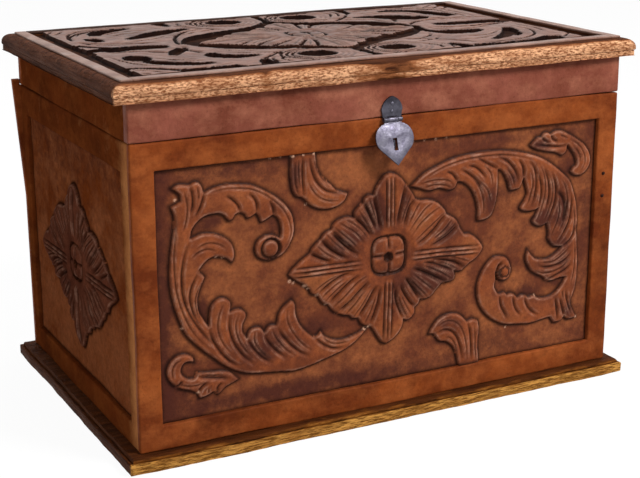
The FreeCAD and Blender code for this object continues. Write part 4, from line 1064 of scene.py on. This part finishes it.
def front_panel():
    """The front: a rosette between two scrolls, loose leaves above and below, curls in two corners."""
    low, high = low_high("front_tooled_panel")
    low = np.array([low[0] - 1.5, core_face("front") - 2.0, low[2] - 1.5])
    high = np.array([high[0] + 1.5, core_face("front"), high[2] + 1.5])
    panel = TooledPanel("front_panel_carving", "front", low, high, 1.08)
    panel.leaf(outline_of(SCROLL_EDGE), 3.1, SCROLL_CUTS, SCROLL_LINES)
    # The ring round the ball is sunk and darkened: painted shade in the hollow.
    panel.hollow(ring(SCROLL_BALL, 9.8), 0.8, 1.3, 0.9)
    panel.leaf(ring(SCROLL_BALL, 7.8), 3.0, edge=3.2, crown=1.1, crown_reach=7.0)
    panel.leaf(outline_of(CORNER_EDGE), 2.9, CORNER_CUTS, CORNER_LINES)
    panel.leaf(outline_of(RIGHT_EDGE), 3.1, RIGHT_CUTS, RIGHT_LINES)
    # Two grooves darkened as painted shade: the hollow between the right leaflet and the stem, and the ring round the
    # right ball.
    panel.groove(smooth_line([(180, 192.6), (187, 185), (190.4, 173), (188, 160)]), 3.6, 2.4)
    panel.groove(smooth_line([(121, 129.5), (116.4, 126), (114.8, 120.6), (116.4, 115), (120.6, 112)]), 2.2, 2.4)
    panel.leaf(ring(RIGHT_BALL, 7.2), 3.4, edge=3.2, crown=1.1, crown_reach=7.0)
    panel.leaf(outline_of(RIGHT_CORNER_EDGE), 2.9, RIGHT_CORNER_CUTS, RIGHT_CORNER_LINES)
    panel.leaf(outline_of(HANGING_EDGE), 3.0, HANGING_CUTS, HANGING_LINES)
    panel.leaf(outline_of(STANDING_EDGE), 2.9, STANDING_CUTS, STANDING_LINES)
    carve_rosette(panel, (-3.5, 151.0), (1, 1), 3.3, 17.0)
    panel.chip(FRONT_CHIPS)
    # The ground's patches include painted shade under and beside the leaves and in the hasp's slot.
    panel.stain(FRONT_GROUND_DYE_AND_SHADE, 1 - panel.raised)
    panel.stain(FRONT_RELIEF_DYE, panel.raised)
    piece = panel.finish(seed=11)
    fit(piece, panel_hide, "trunk", ["front_tooled_panel"], None)


def core_face(side):
    """Where the carcass's outer face lies, under the leather of one side."""
    low, high = low_high("front_wall", "back_wall", "left_wall", "right_wall")
    return {"front": low[1], "back": high[1], "left": low[0], "right": high[0]}[side]


def side_panels():
    """Each side: one diamond rosette, a little off the middle, on a plain ground."""
    for side, way in (("left", -1), ("right", 1)):
        low, high = low_high(side + "_tooled_panel")
        face = core_face(side)
        low = np.array([min(face, face + 2.0 * way), low[1] - 1.5, low[2] - 1.5])
        high = np.array([max(face, face + 2.0 * way), high[1] + 1.5, high[2] + 1.5])
        panel = TooledPanel(side + "_panel_carving", side, low, high, 1.1)
        carve_rosette(panel, (4.0, 136.0), (1.07, 0.98), 3.1, 16.0)
        panel.stain([(4, 136, 150, 120, 0.25), (30, 120, 30, 30, 0.4)], panel.raised)
        # The ground is paler towards the bottom, painted reflection of the floor's light; darker towards the top, and
        # paler in one patch at the left.
        panel.stain([(0, 70, 200, 45, -0.8), (0, 250, 200, 40, 0.4), (-60, 170, 40, 60, -0.3)], 1 - panel.raised)
        piece = panel.finish(seed=21)
        fit(piece, side_hide, "trunk", [side + "_tooled_panel"], None)


# The lid's scrollwork is what stands between its hollows: each hollow's spine and its half widths
LID_HOLLOWS = [
    ([(133, 110), (150, 109), (163, 101), (172, 88), (178, 72), (184, 56), (186, 46)],
    (1, 4, 6, 7, 7, 9, 6)), ([(88, 80), (104, 76), (122, 66), (134, 58), (146, 52), (158, 56)],
    (1, 6, 12, 13, 11, 4)), ([(135, -1), (160, -4), (190, -6), (218, -8)], (5, 8, 8, 6)), ([(113, 0),
    (108, -22), (110, -38), (124, -52), (142, -54), (158, -50)], (2, 3, 4, 10, 10, 3)), ([(133, -110),
    (150, -100), (166, -86), (179, -70), (187, -52)], (1, 4, 5, 6, 3)), ([(164, -101), (172, -92),
    (180, -80)], (1, 3, 1)), ([(-188, 86), (-184, 98), (-174, 108), (-160, 114), (-142, 118)],
    (3, 6, 7, 5, 1)), ([(-199, 72), (-197, 60), (-196, 48)], (4, 6, 3)), ([(-168, 52), (-150, 62),
    (-134, 72), (-116, 82), (-92, 90)], (2, 6, 9, 7, 2)), ([(-226, 0), (-200, -1), (-175, -2), (-149, -6)],
    (5, 9, 10, 6)), ([(-197, -74), (-188, -90), (-174, -102), (-160, -108), (-148, -106)], (4, 7, 7, 6, 2)),
    ([(-130, -60), (-132, -74), (-122, -85), (-108, -88), (-96, -88)], (2, 8, 8, 6, 2)), ([(-142, -22),
    (-154, -38), (-166, -58)], (3, 5, 2)), ([(-106, 141), (-105, 126), (-103, 112)], (5, 5, 1)),
    ([(100, 141), (99, 124), (97, 108)], (5, 4, 1)), ([(-108, -140), (-105, -124), (-101, -108)],
    (6, 6, 1)), ([(90, -140), (88, -126), (84, -112)], (6, 5, 1)), ([(-7, -98), (-7, -116), (-4, -140)],
    (3, 2.5, 3)), ([(-3, 96), (-1, 114), (2, 141)], (3, 2.5, 3)), ([(-231, -100), (-212, -108),
    (-196, -120), (-188, -130)], (2, 2.5, 2.5, 2)), ([(-222, 36), (-212, 20), (-200, 8)], (2, 2.5, 2)),
    ([(108, 138), (140, 138), (170, 137), (196, 132)], (3, 5, 5, 2)),
]
# Sunk ground under the two lower corners' leaves
LID_CORNERS = [
    [(96, -138), (100, -127), (130, -129), (165, -127), (188, -115), (200, -122), (196, -138)],
    [(-190, -138), (-186, -124), (-160, -128), (-135, -127), (-128, -138)],
]
# Closed holes: middle, radius and how much lower than wide
LID_EYES = [
    ((-44, 112.5), 18.5, 0.88), ((39, 110.5), 19, 0.92), ((-49, -106.5), 18, 0.86), ((31, -107.5),
    17, 0.85), ((-199, -58), 12.5, 1.25),
]
# The diamond field of the rosette
LID_FIELD = [
    [(-134, 1), (-126, 20), (-112, 38), (-84, 52), (-50, 64), (-26, 77), (-5, 100)], [(-5, 100), (12, 86),
    (30, 75), (54, 66), (78, 55), (98, 40), (110, 22), (118, -2)], [(118, -2), (110, -18), (97, -36),
    (80, -52), (58, -64), (36, -72), (16, -84), (-5, -101)], [(-5, -101), (-22, -87), (-40, -76),
    (-64, -69), (-90, -58), (-112, -42), (-126, -22), (-134, 1)],
]
# The outer edge of the scrollwork
LID_EDGE = [
    [(-224, -136), (-120, -137), (0, -136), (120, -137), (217, -136)], [(217, -136), (218, -70), (216, 0),
    (219, 70), (217, 138)], [(217, 138), (120, 139), (0, 138), (-120, 139), (-224, 138)], [(-224, 138),
    (-226, 70), (-223, 0), (-226, -70), (-224, -136)],
]
# The grooves that part one band from the next
LID_BANDS = [
    [(-137, -4), (-133, 16), (-126, 38), (-115, 58), (-99, 74)], [(-150, 22), (-172, 27), (-196, 36),
    (-213, 52)], [(114, 8), (122, 20), (140, 30), (166, 34), (190, 30), (213, 22)], [(-137, -12),
    (-142, -32), (-134, -50)], [(118, -14), (140, -22), (170, -25), (200, -20), (215, -16)], [(62, -68),
    (84, -84), (100, -100), (110, -118)], [(-66, -74), (-88, -94), (-104, -110)], [(60, 68), (82, 90),
    (96, 110)], [(-62, 66), (-82, 88), (-98, 112)], [(-212, -12), (-190, -18), (-170, -30), (-160, -46)],
    [(112, 34), (118, 52), (110, 68), (96, 78)], [(-216, 64), (-212, 90), (-196, 112), (-170, 124),
    (-140, 126)], [(104, 122), (140, 124), (172, 116), (194, 96)],
]
# Where the lid's dye is darker
LID_DYE = [
    (-150, 80, 40, 36, 0.7), (130, 58, 34, 20, 0.7), (-6, 0, 28, 24, 0.8), (95, -75, 30, 14, 0.5),
    (-108, -38, 14, 12, 0.7), (88, 32, 18, 12, 0.6), (160, -128, 60, 12, 0.7), (-190, 20, 30, 10, 0.5),
    (-150, -70, 24, 20, 0.5), (190, 0, 30, 12, 0.5), (-60, 40, 14, 10, 0.8), (40, -45, 14, 12, 0.8),
    (-70, -45, 16, 12, 0.7), (40, 35, 12, 12, 0.6), (-90, 120, 20, 16, 0.4), (160, -90, 30, 20, 0.4),
]
# Fine lines along the bands
LID_LINES = [
    [(120, 124), (146, 126), (170, 120), (188, 106), (196, 88), (197, 66), (198, 44), (190, 26)],
    [(118, 132), (150, 133), (178, 126), (198, 110), (206, 88), (207, 62), (206, 40), (196, 20)],
    [(104, 102), (122, 106), (144, 103), (160, 93), (167, 78), (168, 62)], [(106, 94), (124, 97), (142, 94),
    (154, 84), (158, 70)], [(60, 74), (80, 70), (95, 60), (102, 46), (106, 32)], [(52, 84), (76, 84),
    (94, 74)], [(124, 24), (146, 30), (168, 28), (190, 16)], [(134, 40), (156, 42), (176, 38)], [(118, -14),
    (122, -28), (134, -38), (156, -38), (180, -30), (204, -22)], [(126, -10), (136, -22), (156, -26),
    (184, -20)], [(104, -116), (130, -122), (158, -118), (182, -104), (196, -84), (200, -60), (196, -40)],
    [(112, -124), (140, -130), (166, -124)], [(206, -92), (210, -66), (206, -38)], [(110, -78), (130, -84),
    (152, -78), (170, -64)], [(104, -96), (126, -98), (144, -92)], [(60, -74), (80, -70), (96, -58),
    (102, -44)], [(64, -88), (84, -84), (98, -72)], [(-208, 86), (-198, 104), (-180, 118), (-158, 124),
    (-134, 124)], [(-216, 80), (-208, 106), (-190, 124), (-164, 132), (-136, 133)], [(-180, 88), (-168, 96),
    (-150, 100), (-130, 98)], [(-176, 78), (-160, 86), (-138, 90)], [(-212, 40), (-200, 28), (-180, 20),
    (-156, 22)], [(-214, 54), (-208, 38)], [(-190, 40), (-168, 38), (-146, 44), (-128, 56)], [(-110, 68),
    (-90, 78), (-70, 84)], [(-120, 50), (-104, 60), (-84, 68), (-62, 74)], [(-212, -24), (-196, -20),
    (-178, -26), (-166, -40)], [(-218, -40), (-214, -66), (-208, -88), (-192, -108)], [(-208, -110),
    (-186, -122), (-160, -124), (-134, -118)], [(-178, -76), (-166, -88), (-150, -94)], [(-186, -64),
    (-172, -78), (-154, -84)], [(-118, -62), (-102, -72), (-82, -80), (-66, -84)], [(-118, -48),
    (-104, -58), (-88, -66)], [(-150, -30), (-140, -44), (-136, -58)], [(190, 116), (202, 124), (216, 135)],
    [(196, 106), (208, 114), (219, 126)], [(203, 98), (213, 104), (219, 112)], [(-219, -100), (-206, -112),
    (-196, -124)], [(-222, -112), (-210, -122), (-202, -134)], [(-221, -126), (-214, -134)], [(-222, 112),
    (-212, 122), (-206, 134)], [(-223, 124), (-216, 134)], [(200, -128), (210, -118), (218, -110)],
    [(-76, 132), (-80, 118), (-74, 104)], [(-86, 134), (-90, 118), (-84, 102)], [(76, 132), (80, 118),
    (72, 100)], [(86, 134), (89, 118), (80, 98)], [(-84, -134), (-88, -118), (-80, -102)], [(66, -132),
    (70, -116), (62, -100)], [(76, -134), (80, -118), (72, -102)], [(-94, -130), (-96, -116), (-90, -102)],
]


def lid_panel():
    """The lid: flat scrollwork with sunk ground between its bands, round a diamond rosette."""
    low, high = low_high("lid_tooled_panel")
    board_low, board_high = low_high("lid_board")
    low = np.array([low[0] - 1.0, low[1] - 1.0, board_high[2] - LID_SINK])
    high = np.array([high[0] + 1.0, high[1] + 1.0, board_high[2] - LID_SINK + 0.7])
    panel = TooledPanel("lid_panel_carving", "top", low, high, 1.25)
    top = 3.7
    rings = [closed_ring(centre, radius + more, (squash * radius + more) / (radius + more))
             for centre, radius, squash in LID_EYES[:4] for more in (5.0, 10.0, 15.0)]
    panel.leaf(outline_of(LID_EDGE), top, LID_LINES + rings, edge=1.6, crown=0.2)
    for spine, half_widths in LID_HOLLOWS:
        panel.hollow(strip(spine, [1.15 * half + 1.2 for half in half_widths]))
    for outline in LID_CORNERS:
        panel.hollow(np.array(outline, float))
    for centre, radius, squash in LID_EYES:
        panel.hollow(ring(centre, radius, squash))
    panel.hollow(outline_of(LID_FIELD))
    for band in LID_BANDS:
        panel.groove(smooth_line(band), 3.6, 2.6)
    carve_rosette(panel, (-5.5, -1.0), (1.14, 1.03), top, 17.0)
    panel.stain(LID_DYE, panel.raised)
    piece = panel.finish(seed=31, ground_wave=0.1)
    fit(piece, lid_hide, "lid", ["lid_tooled_panel"], None)
    # The sunk ground between the bands and the foot of its walls are dark and dull, blacked and with painted shade in
    # the hollows, so their faces have a finish of their own.
    piece.data.materials.append(lid_ground)
    places = corners(piece)
    for face in piece.data.polygons:
        if len(face.vertices) == 4:
            face.material_index = int(min(places[v, 2] for v in face.vertices) < high[2] + 2.2)


def body_frames():
    """The raised leather frames round the three tooled panels, and the leather back."""
    front = ["front_left_stile", "front_right_stile", "front_top_rail", "front_bottom_rail"]
    low, high = low_high(*front)
    panel_low, panel_high = low_high("front_tooled_panel")
    opening = (panel_low[0], panel_high[0], panel_low[2], panel_high[2])
    piece = leather_plate("front_frame_leather", "front", low, high, opening, seed=3)
    # The last spot darkens the leather behind the hasp's slot: painted shade in the slot.
    dye_and_light_spots(piece, [((-150, -160, 38), (70, 1000, 12), 0.5), ((20, -160, 38), (120, 1000, 12), 0.45),
                 ((237, -160, 120), (14, 1000, 130), 0.4), ((236, -160, 205), (14, 1000, 22), -0.5),
                 ((-235, -160, 60), (14, 1000, 40), -0.2), ((2, -160, 258), (4, 1000, 7), 1.0)])
    fit(piece, frame_hide, "trunk", front)
    for side in ("left", "right"):
        names = [side + "_" + part for part in ("front_side_stile", "back_side_stile", "top_side_rail",
                                                "bottom_side_rail")]
        low, high = low_high(*names)
        panel_low, panel_high = low_high(side + "_tooled_panel")
        opening = (panel_low[1], panel_high[1], panel_low[2], panel_high[2])
        piece = leather_plate(side + "_frame_leather", side, low, high, opening, seed=5)
        # The left side's front edge is painted much paler, and the right side's a little: painted light thrown onto
        # it from the front.
        dye_and_light_spots(piece, [((0, -154, 150), (1000, 17, 500), -1.3 if side == "left" else -0.3)])
        fit(piece, side_frame_hide, "trunk", names)
    piece = copy_of("back_panel", "back_leather")
    modify(piece, "BEVEL", width=1.4 * MM, segments=3, limit_method="ANGLE")
    fit(piece, frame_hide, "trunk", ["back_panel"])


def lid_rims():
    """The four leather-covered boards of the lid's rim."""
    for part, facing in (("front", "front"), ("back", "back"), ("left", "left"), ("right", "right")):
        node = "lid_" + part + "_rim"
        low, high = low_high(node)
        piece = leather_plate(part + "_rim_leather", facing, low, high, seed=7)
        material = {"front": rim_hide, "back": frame_hide}.get(part, side_frame_hide)
        fit(piece, material, "lid", [node])


def quarter_round(radius, top, count=6):
    """The set-back and height of points up a quarter round that ends at the top."""
    angles = [math.pi / 2 * k / count for k in range(count + 1)]
    return [(radius * (1 - math.cos(a)), top - radius * (1 - math.sin(a))) for a in angles]


# How deep the lid board is hollowed under its carved panel
LID_SINK = 2.6


def wooden_boards():
    """The base board with its stepped edge, and the lid board with its band, quarter round and hollow."""
    low, high = low_high("base_board")
    band = low[2] + 9.3
    profile = [(0.0, low[2] + 1.0), (0.0, band - 1.2), (0.5, band - 0.3), (1.4, band)]
    profile += [(3.6, band - 0.7), (3.2, band + 0.5), (3.2, high[2] - 1.6), (4.0, high[2] - 0.3), (5.2, high[2])]
    piece = profile_board("base_moulding", low, high, profile, 6.0, 0.35, 13)
    fit(piece, base_wood, "trunk", ["base_board"], 40.0)
    low, high = low_high("lid_board")
    band = low[2] + 5.0
    profile = [(1.3, low[2]), (1.0, low[2] + 0.6), (1.0, band - 0.4), (1.5, band), (0.5, band + 0.3),
               (0.0, band + 1.2)]
    profile += [(back, height) for back, height in quarter_round(8.5, high[2]) if height > band + 1.3]
    profile += [(21.3, high[2]), (21.4, high[2] - LID_SINK)]
    piece = profile_board("lid_moulding", low, high, profile, 6.0, 0.35, 17)
    dye_and_light_spots(piece, [((-5, -165, 330), (26, 30, 30), 0.8), ((-124, -165, 330), (5, 30, 30), 0.6)])
    fit(piece, lid_wood, "lid", ["lid_board"], 40.0)


def lid_borders():
    """The leather strips round the lid's carving."""
    for part in ("front", "back", "left", "right"):
        node = "lid_" + part + "_border"
        low, high = low_high(node)
        piece = leather_plate(part + "_border_strip", "top", low, high, cell=5.0, round_over=0.8,
                              wave=0.25, seed=9)
        # The back strip takes the darker finish: painted shade.
        fit(piece, dark_border_hide if part == "back" else border_hide, "lid", [node])


def ironwork():
    """The hasp's flap and upper leaf, and the hinges, with filed edges."""
    piece = copy_of("hasp_flap", "hasp_spade")
    modify(piece, "BEVEL", width=0.35 * MM, segments=2, limit_method="ANGLE")
    fit(piece, bright_iron, "hasp", ["hasp_flap"])
    piece = copy_of("hasp_leaf", "hasp_upper_leaf")
    modify(piece, "BEVEL", width=0.3 * MM, segments=2, limit_method="ANGLE")
    # Darker towards the leaf's top.
    dye_and_light_spots(piece, [((0, -158, 302), (20, 1000, 8), 1.0)])
    fit(piece, dark_iron, "lid", ["hasp_leaf"])
    for side in ("left", "right"):
        for part, body in (("box_leaf", "trunk"), ("lid_leaf", "lid")):
            node = side + "_hinge_" + part
            piece = copy_of(node, node + "_filed")
            modify(piece, "BEVEL", width=0.3 * MM, segments=2, limit_method="ANGLE")
            fit(piece, dark_iron, body, [node])


def nail_heads():
    """Domed heads on the nails of the frame and the hasp."""
    for node, body, slot in (("frame_nails", "trunk", "forged_iron"), ("hasp_nails", "lid", "forged_iron")):
        low, high = low_high(node)
        radius = (high[0] - low[0]) / 2
        centre_x = (low[0] + high[0]) / 2
        heads = []
        for height in (high[2] - radius, low[2] + radius):
            rest_all()
            bpy.ops.mesh.primitive_uv_sphere_add(segments=20, ring_count=12, radius=radius * MM,
                                                 location=(centre_x * MM, (low[1] + 0.9) * MM, height * MM))
            head = bpy.context.object
            head.scale = (1, 0.9 / radius, 1)
            settle(head)
            heads.append(head)
        rest_all()
        for head in heads:
            head.select_set(True)
        bpy.context.view_layer.objects.active = heads[0]
        bpy.ops.object.join()
        heads[0].name = node + "_domed"
        fit(heads[0], nail_iron if node == "frame_nails" else dark_iron, body, [node], 60.0)


def finish_plain_nodes():
    """Materials of the CAD nodes that are shown as they are."""
    by_slot = {"carcass_wood": carcass_wood, "forged_iron": dark_iron, "hinge_iron": dark_iron}
    for body, members in frame["record"]["behaviour"]["bodies"].items():
        for name in members:
            node = nodes[name]
            if node.hide_render:
                continue
            wooden = name.endswith("_wall") or name == "floor_board"
            material = by_slot["carcass_wood"] if wooden else by_slot["hinge_iron"]
            node.data.materials.clear()
            node.data.materials.append(material)


front_panel()
side_panels()
lid_panel()
body_frames()
lid_rims()
wooden_boards()
lid_borders()
ironwork()
nail_heads()
finish_plain_nodes()


# Studio

def background_rays(tree):
    """1 for the rays by which the camera and reflections see the background."""
    camera_ray, glossy_ray, clear_ray = [add(tree, "LightPath", {}, "Is " + kind + " Ray")
                                         for kind in ("Camera", "Glossy", "Transmission")]
    seen = add(tree, "Math", {0: camera_ray, 1: glossy_ray}, operation="MAXIMUM")
    return add(tree, "Math", {0: seen, 1: clear_ray}, operation="MAXIMUM")


def studio():
    """A pale floor, soft lamps and a white surround that the camera and reflections see."""
    rest_all()
    bpy.ops.mesh.primitive_plane_add(size=24, location=(0, 0, -0.0005))
    floor = bpy.context.object
    floor.name = "studio_floor"
    paper, tree, place = new_tree("matt_white_paper")
    grain = patches(tree, place, 3.0, 0.0, 0.3, 0.7)
    sheet = painted(tree, linear("#B2B2B2"), [(grain, linear("#B6B6B6"))])
    shader = add(tree, "BsdfPrincipled", {"Base Color": sheet, "Roughness": 0.9, "Specular IOR Level": 0.1})
    glow = add(tree, "Emission", {"Color": (1, 1, 1, 1), "Strength": 1.14})
    share = add(tree, "Math", {0: background_rays(tree), 1: 0.83}, operation="MULTIPLY")
    add(tree, "OutputMaterial", {"Surface": add(tree, "MixShader", {0: share, 1: shader, 2: glow})})
    floor.data.materials.append(paper)

    world = bpy.data.worlds.new("studio_surround")
    bpy.context.scene.world = world
    world.use_nodes = True
    tree = world.node_tree
    tree.nodes.clear()
    level = add(tree, "MapRange", {0: background_rays(tree), 3: 0.2, 4: 1.0})
    light = add(tree, "Background", {"Color": (1, 1, 1, 1), "Strength": level})
    add(tree, "OutputWorld", {"Surface": light})

    # Softbox lamps: name, place, aim, size and power
    lamps = [
        ("key_softbox", (1.1, -1.7, 1.9), (0, 0, 0.15), 0.8, 69.0),
        ("top_softbox", (0.2, 0.6, 2.2), (0, 0, 0.3), 1.2, 16.0),
        ("fill_softbox", (-2.4, -1.6, 1.0), (0, 0, 0.15), 1.4, 15.0),
    ]
    for name, place, aim, size, power in lamps:
        data = bpy.data.lights.new(name, "AREA")
        data.size = size
        data.energy = power
        lamp = bpy.data.objects.new(name, data)
        lamp.location = place
        lamp.rotation_mode = "QUATERNION"
        lamp.rotation_quaternion = (Vector(aim) - Vector(place)).to_track_quat("-Z", "Y")
        bpy.context.scene.collection.objects.link(lamp)


def camera():
    """The photograph's view, solved from the trunk's corners in it."""
    right = Vector((0.889032, -0.457824, -0.004352))
    down = Vector((-0.133014, -0.249175, -0.959280))
    ahead = Vector((0.438097, 0.853410, -0.282422))
    data = bpy.data.cameras.new("photo_camera")
    data.sensor_width = 36.0
    data.lens = 81.01
    data.clip_end = 50.0
    made = bpy.data.objects.new("photo_camera", data)
    turn = Matrix((right, -down, -ahead)).transposed().to_4x4()
    made.matrix_world = Matrix.Translation((-0.62226, -1.22575, 0.53468)) @ turn
    bpy.context.scene.collection.objects.link(made)
    bpy.context.scene.camera = made


studio()
camera()
bpy.context.scene.view_settings.view_transform = "Standard"
